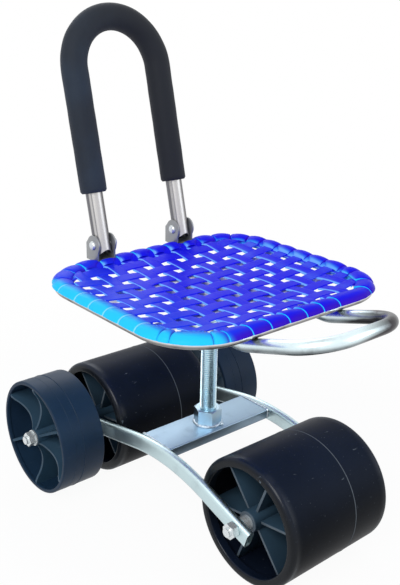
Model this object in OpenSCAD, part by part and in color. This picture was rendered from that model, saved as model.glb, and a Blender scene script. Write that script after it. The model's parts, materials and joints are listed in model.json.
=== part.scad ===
// Rolling garden seat: a low woven-look seat on a lifting screw, carried by
// two wide rollers on two bent arms, with two outer wheels at the back,
// a hand loop at the front and a folding padded back bow.
// Lengths in millimetres. +X right, +Y to the back, +Z up, floor at z = 0.

/* [Rollers and wheels] */
// Radius of the rollers and wheels
roll_r = 88; // [78:1:100]
// Distance between the two axles
wheel_base = 356; // [330:1:400]
// Width of each roller
roller_w = 180; // [150:1:200]
// Rounding of a roller's shoulders
shoulder_r = 12; // [6:1:16]
// Wall of the rollers and wheels
rim_t = 5; // [3:0.5:7]
// Radius of the mouth inside a roller's lip
lip_r = 74; // [68:1:76]
// Depth of a roller's lip along its axle
lip_d = 14; // [10:1:20]
// Outer radius of a roller's hub
roller_hub_r = 15; // [13:0.5:20]
// How far a roller's hub stays behind its mouth
roller_hub_in = 6; // [3:0.5:12]
// How far a roller's ribs stay behind its lip
roller_rib_in = 2; // [0.5:0.5:8]
// Thickness of a roller's web and ribs
web_t = 4; // [2:0.5:6]
// Width of each outer wheel
wheel_w = 70; // [50:1:80]
// Outer radius of a wheel's hub
wheel_hub_r = 12.5; // [12:0.5:20]
// How far a wheel's hub stays behind its rim on each side
wheel_hub_in = 1; // [0:0.5:6]
// How far a wheel's ribs stay behind its rim and hub
wheel_rib_in = 1.5; // [0.5:0.5:5]
// Radius at which a wheel's ribs are narrowest
waist_r = 30; // [24:1:40]
// Width of a wheel's ribs at that waist
waist_w = 40; // [24:1:48]
// Height of the mould line around a wheel
seam_h = 0.6; // [0.3:0.1:1]
// Width of that mould line
seam_w = 2; // [1:0.5:4]
// Outer radius of the axle bushes
bush_r = 9; // [8:0.5:11]
// Length of each bush
bush_len = 22; // [10:1:30]

/* [Axles] */
// Radius of both axles
axle_r = 6; // [5:0.5:7]
// Width across flats of the axle nuts
nut_af = 19; // [17:0.5:22]
// Thickness of the axle nuts
nut_t = 10; // [8:0.5:12]
// How far an axle stands out of its nut
axle_out = 3.5; // [1:0.5:8]
// Radius of the spacer collars
collar_r = 10; // [8:0.5:12]
// Radius of the wheel washers
washer_r = 12; // [10:0.5:16]
// Thickness of the wheel washers
washer_t = 2; // [1:0.5:4]
// Gap between an outer wheel's hub and the arm
wheel_gap = 15; // [12:0.5:30]

/* [Arms and crossbar] */
// Height of the flat oval arm tube
arm_h = 25; // [22:0.5:28]
// Width of the flat oval arm tube
arm_w = 12; // [10:0.5:16]
// Wall of the arm tube
arm_t = 2; // [1.5:0.25:3]
// Space between a roller's end and an arm
arm_gap = 6; // [4:0.5:12]
// Slope of the arms towards the front
front_slope = 17; // [13:0.5:18]
// Slope of the arms towards the back
rear_slope = 11; // [9:0.5:14]
// Radius of the arms' bend
arm_bend_r = 320; // [200:5:400]
// How far an arm runs past each axle
arm_tail = 23; // [18:1:30]
// Width of the crossbar from front to back
cross_w = 60; // [54:1:70]
// Height of the crossbar
cross_h = 15; // [13:0.5:18]
// Wall of the crossbar
cross_t = 2; // [1.5:0.25:3]
// How far the arms' crown stands above the crossbar
cross_drop = 5; // [3:0.5:8]

/* [Lifting screw] */
// Radius of the lifting screw
screw_r = 11.95; // [10:0.05:13]
// Width across flats of the lift nut
lift_nut_af = 36; // [34:0.5:41]
// Height of the lift nut
lift_nut_h = 24; // [18:1:30]
// Radius of the seat hub around the screw
hub_r = 20; // [17:0.5:24]
// Height of the seat hub below its plate
hub_h = 8; // [5:1:20]
// Thickness of the hub plate
plate_t = 5; // [4:0.5:8]
// Length of the hub plate across the bars
plate_len = 160; // [150:1:180]
// Width of the hub plate along the bars
plate_w = 110; // [80:1:140]

/* [Seat] */
// Half of the seat's width
seat_hx = 194; // [190:1:199]
// Half of the seat's depth
seat_hy = 171; // [168:1:176]
// Radius of the seat's corners
corner_r = 88; // [84:1:92]
// How far the seat's middle lies in front of the screw
seat_fwd = 6.5; // [0:0.5:12]
// Height of the seat's rim above the floor
crest_z = 357; // [350:1:400]
// Rounding of the rim's outer edge
roll_edge_r = 11; // [9:0.5:13]
// Height of the rim above its own lower edge
rim_h = 8; // [7.5:0.5:9]
// Width of the rim
rim_w = 27; // [26:0.5:29]
// Width of the flat band on top of the rim
crest_w = 4; // [2:0.5:6]
// Drop from the rim to the woven field
flank_drop = 5.5; // [4:0.5:6]
// Depth of the field's middle below the rim
dish_d = 12; // [10:0.5:13]
// Radius of the dished field
dish_r = 1800; // [1500:50:2600]
// Distance between neighbouring strips
pitch = 31; // [30.5:0.5:31.5]
// Width of a strip
strip_w = 21.5; // [20:0.5:25]
// Rise and fall of the strips in the weave
wave = 2.2; // [1:0.1:2.6]
// Thickness of the strips that run front to back
strip_t = 5.5; // [4.5:0.5:6.5]
// How much the strips stand over the rim they wrap
wrap_t = 1.8; // [1:0.1:2]
// Radius of the ring bar under the rim
ring_r = 6; // [5:0.5:6.5]
// How far the ring bar's middle lies inside the rim's edge
ring_in = 8.5; // [8:0.5:9]
// Depth of the ring bar's middle below the rim
ring_d = 11; // [10.5:0.5:12]
// Width of the flat seat bars
bar_w = 40; // [30:1:50]
// Thickness of the seat bars
bar_t = 6; // [4:0.5:8]
// Distance from the screw to each seat bar
bar_y = 60; // [50:1:62]
// Distance from the middle to each cover boss
boss_x = 120; // [105:1:150]
// Radius of the cover bosses
boss_r = 7; // [6:0.5:9]
// Radius of the cover screws
small_r = 2.5; // [2:0.25:3]

/* [Hand loop] */
// Radius of the hand loop's tube
loop_r = 9; // [8:0.5:10]
// Wall of the hand loop's tube
loop_t = 1.5; // [1:0.25:3]
// Distance from the middle to each leg of the loop
loop_x = 77; // [66:1:90]
// Length of the loop in front of the ring
loop_len = 105; // [90:1:130]
// Radius of the loop's corners
loop_bend_r = 51; // [35:1:60]
// Upward tilt of the loop
loop_tilt = 16.8; // [14:0.2:19]
// Radius of the bend behind the ring
loop_root_r = 60; // [40:1:62]

/* [Back bow] */
// Distance of the folding axis behind the screw
pivot_y = 160; // [158:0.5:162]
// Height of the folding axis above the rim
pivot_h = 19; // [18.5:0.5:26]
// Lean of the back bow
lean = 14; // [11:0.5:16]
// Radius of the bow's tube
bow_r = 12.5; // [11.5:0.5:12.5]
// Wall of the bow's tube
bow_t = 1.5; // [1:0.25:2.5]
// Distance from the middle to each leg of the bow
bow_x = 73.4; // [66:0.2:88]
// Straight length of the bow above its axis
bow_len = 248.5; // [200:0.5:300]
// Length of the bow below its axis
bow_tail = 9; // [6:0.5:9]
// Radius of the foam sleeve
foam_r = 19.5; // [17:0.5:19.5]
// Distance from the axis to the foam sleeve
foam_low = 75; // [72:1:110]
// Thickness of the bracket plates
ear_t = 2.5; // [2:0.25:3]
// Radius of the bracket ears
ear_r = 15; // [12:0.5:15.5]
// Height of the bracket's back plate above the axis
web_up = 3; // [0:0.5:6]
// Distance from the axis to the front of the bracket's neck
neck = 12; // [8:0.5:13]
// Gap between the bow's tube and each ear
ear_gap = 0.5; // [0.3:0.1:1]
// Radius of the folding bolts
bolt_r = 4; // [3:0.25:5]
// Radius of the bolts' domed heads
dome_r = 8; // [7:0.5:9]
// Height of the bolts' domed heads
dome_h = 4.5; // [3:0.5:6]
// Width across flats of the bolts' nuts
bolt_nut_af = 13; // [12:0.5:14]
// Thickness of the bolts' nuts
bolt_nut_t = 6.5; // [5:0.5:8]

/* [Hidden] */

// Radial clearance of pieces that turn on one another
run_gap = 0.05;
// Distance between pieces that lie on one another
gap = 0.3;
// Overrun of every cut
over = 1;
// Butt joint between the hand loop's middle and its corners
butt = 0.001;
// Clearance around the brackets where they pass the rim
notch_gap = 1;

// Face counts of round forms: large, middle and small
big_fn = 24;
mid_fn = 14;
small_fn = 13;
// Number of ribs in each roller and wheel
ribs = 6;
// Turn of the ribs, seen from the left side, in degrees
wheel_rib_turn = 2;
roller_rib_turn = 0;
// Strips that run across, and strips that run front to back
rows = 9;
cols = 10;
// Wraps on each side and at each corner of the rim, and how much of their pitch they fill
side_wraps = rows - 4;
end_wraps = cols - 3;
corner_wraps = 5;
wrap_share = 0.88;
// Places in each weave cell, and the share of the wave reached there
cell_shares = [0.22, 0.78];
rise_shares = [1, 1];

// Rollers and wheels
axle_y = wheel_base / 2;
roller_hub_half = roller_w / 2 - roller_hub_in;
// Arms and crossbar
arm_in = roller_w / 2 + arm_gap;
arm_mid = arm_in + arm_w / 2;
arm_out = arm_in + arm_w;
ridge_y = axle_y * (tan(rear_slope) - tan(front_slope)) / (tan(front_slope) + tan(rear_slope));
ridge_z = roll_r + (ridge_y + axle_y) * tan(front_slope);
bend_leg = arm_bend_r * tan((front_slope + rear_slope) / 2);
bend_y = ridge_y - bend_leg * cos(front_slope) + arm_bend_r * sin(front_slope);
bend_z = ridge_z - bend_leg * sin(front_slope) - arm_bend_r * cos(front_slope);
front_run = (ridge_y + axle_y) / cos(front_slope) - bend_leg + arm_tail;
rear_run = (axle_y - ridge_y) / cos(rear_slope) - bend_leg + arm_tail;
crown_z = bend_z + arm_bend_r + arm_h / 2;
cross_top = crown_z - cross_drop;
cross_z = cross_top - cross_h;
// The seam rings lie a quarter of the wall deep on either side
seam_in = arm_t / 2;
// Axles
wheel_x = arm_out + wheel_gap - wheel_hub_in + wheel_w / 2;
wheel_hub_half = wheel_w / 2 - wheel_hub_in;
washer_x = wheel_x + wheel_hub_half + gap;
rear_end = washer_x + washer_t + nut_t + axle_out;
front_end = arm_out + nut_t + axle_out;
// Seat
ring_z = crest_z - ring_d;
ring_hx = seat_hx - ring_in;
ring_hy = seat_hy - ring_in;
ring_corner = corner_r - ring_in;
dish_z = crest_z - dish_d;
rim_z = crest_z - rim_h;
bar_top = ring_z - ring_r - gap;
bar_z = bar_top - bar_t;
plate_z = bar_z - plate_t;
hub_z = plate_z - hub_h;
boss_y = bar_y;
// Hand loop, which passes close under the front of the ring
root_d = ring_r + loop_r + gap;
root_y = -seat_fwd - ring_hy - root_d * sin(loop_tilt);
root_z = ring_z - root_d * cos(loop_tilt);
loop_back_z = bar_z - gap - loop_r;
loop_knee_y = root_y + (root_z - loop_back_z) / tan(loop_tilt);
loop_knee_leg = loop_root_r * tan(loop_tilt / 2);
// Back bow and its brackets
pivot_z = crest_z + pivot_h;
ear_x = bow_r + ear_gap;
ear_out = ear_x + ear_t;
// The plate stands clear of the leaning tube and of its turning lower corner
stop_y = pivot_y + max(web_up * tan(lean) + bow_r / cos(lean), norm([bow_r, bow_tail])) + gap;
web_y = stop_y + ear_t;
foot_z = ring_z + ring_r + gap;
// The whole object is centred on the middle of its own length
front_reach = -root_y + loop_len * cos(loop_tilt) + loop_r;
back_reach = max(axle_y + roll_r, pivot_y + (bow_len + bow_x + foam_r) * sin(lean) + foam_r);
mid_y = (front_reach - (axle_y + roll_r)) / 2;

// Lays what is drawn along Z along X instead
module along_x() {
    rotate([0, 90, 0]) children();
}

// A bar along X between two places
module rod_x(r, x_from, x_to, fn = mid_fn) {
    translate([x_from, 0, 0]) along_x() cylinder(r = r, h = x_to - x_from, $fn = fn);
}

// A sleeve along X between two places
module sleeve_x(r_out, r_in, x_from, x_to, fn = mid_fn) {
    difference() {
        rod_x(r_out, x_from, x_to, fn);
        rod_x(r_in, x_from - over, x_to + over, fn);
    }
}

// A hexagon nut that stands on z = 0
module hex_nut(af, h, bore) {
    difference() {
        intersection() {
            cylinder(r = af / sqrt(3), h = h, $fn = 6);
            // Turned corners
            cylinder(r = af / sqrt(3) - (af / sqrt(3) - af / 2) / 3, h = h, $fn = mid_fn);
        }
        translate([0, 0, -over]) cylinder(r = bore, h = h + 2 * over, $fn = mid_fn);
    }
}

// Both sides of the object, the right one mirrored from the left
module both_sides() {
    children();
    mirror([1, 0, 0]) children();
}

// Places of the two axles
module at_front_axle() {
    translate([0, -axle_y, roll_r]) children();
}
module at_rear_axle() {
    translate([0, axle_y, roll_r]) children();
}

// Half section of a roller's shell, radius along x and width along y
module roller_section() {
    half = roller_w / 2;
    difference() {
        union() {
            translate([0, -half]) square([roll_r - shoulder_r, roller_w]);
            translate([0, shoulder_r - half]) square([roll_r, roller_w - 2 * shoulder_r]);
            for (side = [-1, 1]) {
                translate([roll_r - shoulder_r, side * (half - shoulder_r)])
                    circle(r = shoulder_r, $fn = mid_fn);
            }
        }
        translate([-over, -half - over]) square([lip_r + over, roller_w + 2 * over]);
        translate([-over, lip_d - half]) square([roll_r - rim_t + over, roller_w - 2 * lip_d]);
    }
}

// A roller around the X axis: shell, web, ribs and hub in one moulding
module roller() {
    rib_half = roller_w / 2 - lip_d - roller_rib_in;
    along_x() difference() {
        union() {
            rotate_extrude($fn = big_fn) roller_section();
            cylinder(r = roll_r - rim_t / 2, h = web_t, center = true, $fn = big_fn);
            cylinder(r = roller_hub_r, h = 2 * roller_hub_half, center = true, $fn = mid_fn);
            for (k = [0 : ribs - 1]) {
                rotate([0, 0, roller_rib_turn + k * 360 / ribs])
                    translate([bush_r + rim_t / 2, -web_t / 2, -rib_half])
                        cube([roll_r - rim_t - bush_r, web_t, 2 * rib_half]);
            }
        }
        cylinder(r = bush_r + run_gap, h = roller_w, center = true, $fn = mid_fn);
    }
}

// Outline of a wheel's rib, radius along x and width along y
module rib_outline() {
    rim_half = wheel_w / 2 - wheel_rib_in;
    hub_half = wheel_hub_half - wheel_rib_in;
    hub_start = (bush_r + wheel_hub_r) / 2;
    rim_end = roll_r - rim_t / 2;
    polygon([
        [hub_start, -hub_half],
        [waist_r, -waist_w / 2],
        [rim_end, -rim_half],
        [rim_end, rim_half],
        [waist_r, waist_w / 2],
        [hub_start, hub_half]
    ]);
}

// An open ribbed wheel around the X axis
module wheel() {
    along_x() difference() {
        union() {
            rotate_extrude($fn = big_fn) {
                translate([roll_r - rim_t, -wheel_w / 2])
                    square([rim_t - seam_h, wheel_w]);
                translate([roll_r - rim_t, -seam_w / 2]) square([rim_t, seam_w]);
            }
            cylinder(r = wheel_hub_r, h = 2 * wheel_hub_half, center = true, $fn = mid_fn);
            for (k = [0 : ribs - 1]) {
                rotate([0, 0, wheel_rib_turn + k * 360 / ribs]) rotate([90, 0, 0])
                    linear_extrude(height = web_t, center = true) rib_outline();
            }
        }
        cylinder(r = bush_r + run_gap, h = wheel_w + 2 * over, center = true, $fn = mid_fn);
    }
}

// The two bushes of a hub around the X axis
module bushes(half) {
    both_sides() sleeve_x(bush_r, axle_r + run_gap, half - bush_len, half, small_fn);
}

// A flat oval, tall along x
module flat_oval(h, w) {
    square([h - w, w], center = true);
    for (side = [-1, 1]) {
        translate([side * (h - w) / 2, 0]) circle(r = w / 2, $fn = small_fn);
    }
}

// The bent arm in its own plane: x to the back, y up, thickness along z
module arm_path(h, w, spare) {
    translate([bend_y, bend_z, 0]) {
        rotate([0, 0, 90 - rear_slope]) rotate_extrude(angle = front_slope + rear_slope, $fn = 2 * big_fn)
            translate([arm_bend_r, 0]) flat_oval(h, w);
        rotate([0, 0, front_slope]) translate([0, arm_bend_r, 0]) rotate([0, -90, 0])
            rotate([0, 0, 90]) linear_extrude(height = front_run + spare) flat_oval(h, w);
        rotate([0, 0, -rear_slope]) translate([0, arm_bend_r, 0]) rotate([0, 90, 0])
            rotate([0, 0, 90]) linear_extrude(height = rear_run + spare) flat_oval(h, w);
    }
}

// Rings inside the arm's wall that carry it through both ends of its bend
module arm_seams() {
    for (lean = [front_slope, -rear_slope]) {
        translate([bend_y, bend_z, 0]) rotate([0, 0, lean]) translate([0, arm_bend_r, 0])
            rotate([0, 90, 0]) rotate([0, 0, 90]) linear_extrude(height = 2 * arm_w, center = true)
                difference() {
                    flat_oval(arm_h - seam_in, arm_w - seam_in);
                    flat_oval(arm_h - 2 * arm_t + seam_in, arm_w - 2 * arm_t + seam_in);
                }
    }
}

// One arm with its open ends and its two axle holes
module arm() {
    difference() {
        translate([arm_mid, 0, 0]) rotate([90, 0, 90]) {
            difference() {
                arm_path(arm_h, arm_w, 0);
                arm_path(arm_h - 2 * arm_t, arm_w - 2 * arm_t, over);
            }
            arm_seams();
        }
        at_front_axle() rod_x(axle_r + run_gap, arm_in - over, arm_out + over);
        at_rear_axle() rod_x(axle_r + run_gap, arm_in - over, arm_out + over);
    }
}

// A square or oblong tube along X
module box_tube(len, w, h, t) {
    difference() {
        translate([-len / 2, -w / 2, 0]) cube([len, w, h]);
        translate([-len / 2 - over, t - w / 2, t]) cube([len + 2 * over, w - 2 * t, h - 2 * t]);
    }
}

module crossbar() color("slategray") translate([0, mid_y, 0]) {
    difference() {
        translate([0, 0, cross_z]) box_tube(2 * arm_in, cross_w, cross_h, cross_t);
        // Way for the lifting screw
        translate([0, 0, cross_z - over])
            cylinder(r = screw_r + 2 * gap, h = cross_h + 2 * over, $fn = mid_fn);
    }
}

module lift_nut() color("silver") translate([0, mid_y, cross_top]) {
    hex_nut(lift_nut_af, lift_nut_h, screw_r + run_gap);
}

module arm_left() color("lightsteelblue") translate([0, mid_y, 0]) {
    mirror([1, 0, 0]) arm();
}

module arm_right() color("lightsteelblue") translate([0, mid_y, 0]) {
    arm();
}

module front_axle() color("silver") translate([0, mid_y, 0]) {
    at_front_axle() rod_x(axle_r, -front_end, front_end);
}

module rear_axle() color("silver") translate([0, mid_y, 0]) {
    at_rear_axle() rod_x(axle_r, -rear_end, rear_end);
}

module axle_nuts() color("gainsboro") translate([0, mid_y, 0]) both_sides() {
    at_front_axle() translate([arm_out, 0, 0]) along_x() hex_nut(nut_af, nut_t, axle_r + run_gap);
    at_rear_axle() translate([washer_x + washer_t, 0, 0]) along_x()
        hex_nut(nut_af, nut_t, axle_r + run_gap);
}

module wheel_washers() color("silver") translate([0, mid_y, 0]) both_sides() {
    at_rear_axle() sleeve_x(washer_r, axle_r + run_gap, washer_x, washer_x + washer_t);
}

module roller_collars() color("gainsboro") translate([0, mid_y, 0]) both_sides() {
    at_front_axle() sleeve_x(collar_r, axle_r + run_gap, roller_hub_half + gap, arm_in);
    at_rear_axle() sleeve_x(collar_r, axle_r + run_gap, roller_hub_half + gap, arm_in);
}

module wheel_collars() color("gainsboro") translate([0, mid_y, 0]) both_sides() {
    at_rear_axle() sleeve_x(collar_r, axle_r + run_gap, arm_out, wheel_x - wheel_hub_half - gap);
}

module front_roller() color("dimgray") translate([0, mid_y, 0]) {
    at_front_axle() roller();
}

module front_roller_bushes() color("black") translate([0, mid_y, 0]) {
    at_front_axle() bushes(roller_hub_half);
}

module rear_roller() color("dimgray") translate([0, mid_y, 0]) {
    at_rear_axle() roller();
}

module rear_roller_bushes() color("black") translate([0, mid_y, 0]) {
    at_rear_axle() bushes(roller_hub_half);
}

module wheel_left() color("dimgray") translate([0, mid_y, 0]) {
    at_rear_axle() translate([-wheel_x, 0, 0]) wheel();
}

module wheel_left_bushes() color("black") translate([0, mid_y, 0]) {
    at_rear_axle() translate([-wheel_x, 0, 0]) bushes(wheel_hub_half);
}

module wheel_right() color("dimgray") translate([0, mid_y, 0]) {
    at_rear_axle() translate([wheel_x, 0, 0]) wheel();
}

module wheel_right_bushes() color("black") translate([0, mid_y, 0]) {
    at_rear_axle() translate([wheel_x, 0, 0]) bushes(wheel_hub_half);
}

module lift_screw() color("gray") translate([0, mid_y, cross_z]) {
    cylinder(r = screw_r, h = bar_z - gap - cross_z, $fn = mid_fn);
}

// Section of the rim at a corner, radius along x, lowered by a strip's thickness t
module rim_section(t) {
    edge_x = corner_r - roll_edge_r;
    // A strip's inner wall and underside lie inside the rim that it wraps
    inner = corner_r - rim_w + (wrap_t - t) / 2;
    foot = t > 0 ? [[inner, -rim_h - strip_t / 2], [corner_r - rim_w / 2, -rim_h]] : [[inner, -rim_h]];
    intersection() {
        translate([edge_x, -roll_edge_r]) circle(r = roll_edge_r - t, $fn = mid_fn);
        translate([edge_x, -rim_h]) square([roll_edge_r, rim_h + over]);
    }
    polygon(concat(
        [[edge_x, -rim_h], [edge_x, -t], [edge_x - crest_w, -t], [inner, -flank_drop - t]],
        foot
    ));
}

// The rim under the strips
module rim_sweep() {
    for (q = [0 : 3]) {
        a = q % 2 == 0 ? seat_hx : seat_hy;
        b = q % 2 == 0 ? seat_hy : seat_hx;
        rotate([0, 0, 90 * q]) {
            translate([a - corner_r, b - corner_r, crest_z])
                rotate_extrude(angle = 90, $fn = big_fn) rim_section(wrap_t);
            translate([a - corner_r, 0, crest_z]) rotate([90, 0, 0])
                linear_extrude(height = 2 * (b - corner_r), center = true) rim_section(wrap_t);
        }
    }
}

// The strips' turns around the rim, on its straight sides and its corners
module rim_wraps() {
    for (q = [0 : 3]) {
        a = q % 2 == 0 ? seat_hx : seat_hy;
        b = q % 2 == 0 ? seat_hy : seat_hx;
        n = q % 2 == 0 ? side_wraps : end_wraps;
        step = 2 * (b - corner_r) / n;
        rotate([0, 0, 90 * q]) {
            for (k = [0 : n - 1]) {
                translate([a - corner_r, (k - (n - 1) / 2) * step, crest_z]) rotate([90, 0, 0])
                    linear_extrude(height = wrap_share * step, center = true) rim_section(0);
            }
            for (k = [0 : corner_wraps - 1]) {
                translate([a - corner_r, b - corner_r, crest_z])
                    rotate([0, 0, (k + (1 - wrap_share) / 2) * 90 / corner_wraps])
                        rotate_extrude(angle = wrap_share * 90 / corner_wraps, $fn = big_fn)
                            rim_section(0);
            }
        }
    }
}

// Height of the dished field
function dish_at(u) = u * u / (2 * dish_r);

// Outline of a waved strip of n cells; its first crossing is over when down is 0
function strip_line(n, down) = [
    for (k = [0 : n - 1])
        for (i = [0 : len(cell_shares) - 1])
            let (u = (k + cell_shares[i] - n / 2) * pitch,
                side = (k + down) % 2 == 0 ? 1 : -1)
            [u, dish_at(u) + side * wave * rise_shares[i]]
];

// One strip along X from rim to rim, its lower side smooth
module strip(n, half, down, t) {
    reach = half - rim_w + wrap_t;
    edge = dish_d - flank_drop;
    polygon(concat(
        [[-reach, edge - wrap_t]],
        strip_line(n, down),
        [[reach, edge - wrap_t], [reach, dish_d - rim_h - strip_t / 2]],
        [for (k = [1 : -1 : -1]) [k * n * pitch / 4, dish_at(n * pitch / 4 * k) - wave - t / 2]],
        [[-reach, dish_d - rim_h - strip_t / 2]]
    ));
}

// The woven field inside the rim
module field() {
    intersection() {
        union() {
            for (j = [0 : rows - 1]) {
                y = (j - (rows - 1) / 2) * pitch;
                translate([0, y, dish_z + dish_at(y)]) rotate([90, 0, 0])
                    linear_extrude(height = strip_w, center = true)
                        strip(cols, seat_hx, (j + 1) % 2, strip_t);
            }
            for (i = [0 : cols - 1]) {
                x = (i - (cols - 1) / 2) * pitch;
                translate([x, 0, dish_z + dish_at(x)]) rotate([90, 0, 90])
                    linear_extrude(height = strip_w, center = true)
                        strip(rows, seat_hy, i % 2, strip_t);
            }
        }
        translate([0, 0, bar_top]) linear_extrude(height = ring_d + roll_edge_r + ring_r)
            round_oblong(seat_hx - rim_w + wrap_t, seat_hy - rim_w + wrap_t, corner_r - rim_w + wrap_t);
    }
}

// An oblong with round corners
module round_oblong(hx, hy, r) {
    square([2 * (hx - r), 2 * hy], center = true);
    square([2 * hx, 2 * (hy - r)], center = true);
    for (sx = [-1, 1], sy = [-1, 1]) {
        translate([sx * (hx - r), sy * (hy - r)]) circle(r = r, $fn = big_fn);
    }
}

// The ring bar's route, with its section's radius
module ring_route(r, fn) {
    for (q = [0 : 3]) {
        a = q % 2 == 0 ? ring_hx : ring_hy;
        b = q % 2 == 0 ? ring_hy : ring_hx;
        rotate([0, 0, 90 * q]) {
            translate([a - ring_corner, b - ring_corner, ring_z])
                rotate_extrude(angle = 90, $fn = big_fn) translate([ring_corner, 0])
                    circle(r = r, $fn = fn);
            translate([a, 0, ring_z]) rotate([90, 0, 0])
                cylinder(r = r, h = 2 * (b - ring_corner), center = true, $fn = fn);
        }
    }
}

// The places of the cover's four screws, from the screw axis
module at_cover_screws() {
    for (sx = [-1, 1], sy = [-1, 1]) {
        translate([sx * boss_x, sy * boss_y, 0]) children();
    }
}

module seat_cover() color("royalblue") translate([0, mid_y, 0]) {
    notch_y = pivot_y - neck - notch_gap;
    difference() {
        union() {
            translate([0, -seat_fwd, 0]) {
                rim_sweep();
                rim_wraps();
                field();
            }
            at_cover_screws() translate([0, 0, bar_top])
                cylinder(r = boss_r, h = dish_z - bar_top, $fn = mid_fn);
        }
        translate([0, -seat_fwd, 0]) ring_route(ring_r + gap, mid_fn);
        // Pilot holes of the cover screws
        at_cover_screws() translate([0, 0, bar_top - over])
            cylinder(r = small_r + run_gap, h = dish_z - bar_top, $fn = small_fn);
        // Notches for the brackets
        both_sides() translate([bow_x - ear_out - notch_gap, notch_y, rim_z - rim_h])
            cube([2 * (ear_out + notch_gap), seat_hy, 3 * rim_h]);
    }
}

module seat_ring() color("silver") translate([0, mid_y - seat_fwd, 0]) {
    ring_route(ring_r, mid_fn);
}

module seat_bars() color("gray") translate([0, mid_y, 0]) {
    for (side = [-1, 1]) {
        difference() {
            translate([-ring_hx, side * bar_y - bar_w / 2, bar_z])
                cube([2 * ring_hx, bar_w, bar_t]);
            at_cover_screws() translate([0, 0, bar_z - over])
                cylinder(r = small_r + gap, h = bar_t + 2 * over, $fn = small_fn);
        }
    }
}

module hub_plate() color("gray") translate([0, mid_y, plate_z]) {
    difference() {
        translate([-plate_w / 2, -plate_len / 2, 0]) cube([plate_w, plate_len, plate_t]);
        translate([0, 0, -over])
            cylinder(r = screw_r + run_gap, h = plate_t + 2 * over, $fn = mid_fn);
    }
}

module screw_hub() color("gray") translate([0, mid_y, hub_z]) {
    difference() {
        cylinder(r = hub_r, h = hub_h, $fn = mid_fn);
        translate([0, 0, -over])
            cylinder(r = screw_r + run_gap, h = hub_h + 2 * over, $fn = mid_fn);
    }
}

// The loop's level legs under the front bar and their upward bends
module loop_legs(r, spare) {
    back_y = loop_knee_y + loop_knee_leg;
    both_sides() {
        translate([loop_x, back_y, loop_back_z]) rotate([-90, 0, 0]) rotate([0, 0, 90])
            cylinder(r = r, h = bar_w / 2 - bar_y - back_y + spare, $fn = mid_fn);
        translate([loop_x, back_y, loop_back_z + loop_root_r]) rotate([0, 90, 180])
            rotate_extrude(angle = loop_tilt, $fn = 2 * big_fn) translate([loop_root_r, 0])
                circle(r = r, $fn = mid_fn);
    }
}

// Section of the hand loop's tube
module loop_section() {
    difference() {
        circle(r = loop_r, $fn = mid_fn);
        circle(r = loop_r - loop_t, $fn = mid_fn);
    }
}

// The loop's front part in its own plane: straight legs, corners and middle
module loop_front() {
    straight = (loop_knee_y - root_y) / cos(loop_tilt) + loop_len - loop_bend_r;
    both_sides() {
        translate([loop_x, -loop_knee_leg, 0]) rotate([90, 0, 0])
            linear_extrude(height = straight - loop_knee_leg) loop_section();
        translate([loop_x - loop_bend_r, -straight, 0]) rotate([0, 0, -90])
            rotate_extrude(angle = 90, $fn = big_fn) translate([loop_bend_r, 0]) loop_section();
    }
    translate([0, -straight - loop_bend_r, 0]) rotate([0, 90, 0]) rotate([0, 0, -90])
        linear_extrude(height = 2 * (loop_x - loop_bend_r - butt), center = true) loop_section();
}

module hand_loop() color("silver") {
    translate([0, mid_y + loop_knee_y, loop_back_z]) rotate([-loop_tilt, 0, 0]) loop_front();
}

module loop_stubs() color("silver") translate([0, mid_y, 0]) difference() {
    loop_legs(loop_r, 0);
    loop_legs(loop_r - loop_t, over);
}

// A bracket's ear, seen from the side: y along x and z along y
module ear_outline() {
    translate([pivot_y, pivot_z]) circle(r = ear_r, $fn = mid_fn);
    translate([pivot_y - neck, foot_z]) square([web_y - pivot_y + neck, pivot_z - foot_z]);
    translate([pivot_y, foot_z]) square([web_y - pivot_y, pivot_z + web_up - foot_z]);
}

// A folded bracket around the bow's leg
module bracket() {
    difference() {
        translate([bow_x, 0, 0]) rotate([90, 0, 90])
            linear_extrude(height = 2 * ear_out, center = true) ear_outline();
        // Channel between the ears, in front of the web and above the foot
        translate([bow_x - ear_x, pivot_y - 2 * ear_r, foot_z + ear_t])
            cube([2 * ear_x, 2 * ear_r + stop_y - pivot_y, pivot_z + 2 * ear_r - foot_z]);
        translate([0, pivot_y, pivot_z])
            rod_x(bolt_r + run_gap, bow_x - ear_out - over, bow_x + ear_out + over);
    }
}

module bracket_left() color("gainsboro") translate([0, mid_y, 0]) {
    mirror([1, 0, 0]) bracket();
}

module bracket_right() color("gainsboro") translate([0, mid_y, 0]) {
    bracket();
}

// The places of the two folding bolts
module at_bow_bolts() {
    for (side = [-1, 1]) {
        translate([side * bow_x, pivot_y, pivot_z]) children();
    }
}

module bow_bolts() color("white") translate([0, mid_y, 0]) at_bow_bolts() {
    ball_r = (dome_r * dome_r + dome_h * dome_h) / (2 * dome_h);
    rod_x(bolt_r, -ear_out, ear_out + bolt_nut_t + gap, small_fn);
    // Domed head on the left of each bracket
    translate([-ear_out, 0, 0]) rotate([0, -90, 0]) rotate_extrude($fn = mid_fn) intersection() {
        translate([0, dome_h - ball_r]) circle(r = ball_r, $fn = big_fn);
        square([dome_r, dome_h]);
    }
}

module bow_nuts() color("gainsboro") translate([0, mid_y, 0]) at_bow_bolts() {
    translate([ear_out, 0, 0]) along_x() hex_nut(bolt_nut_af, bolt_nut_t, bolt_r + run_gap);
}

module cover_screws() color("silver") translate([0, mid_y, 0]) at_cover_screws() {
    head_h = small_r;
    translate([0, 0, bar_z - head_h]) cylinder(r = 2 * small_r, h = head_h, $fn = small_fn);
    translate([0, 0, bar_z - head_h])
        cylinder(r = small_r, h = dish_z - bar_z - over - gap, $fn = small_fn);
}

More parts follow.
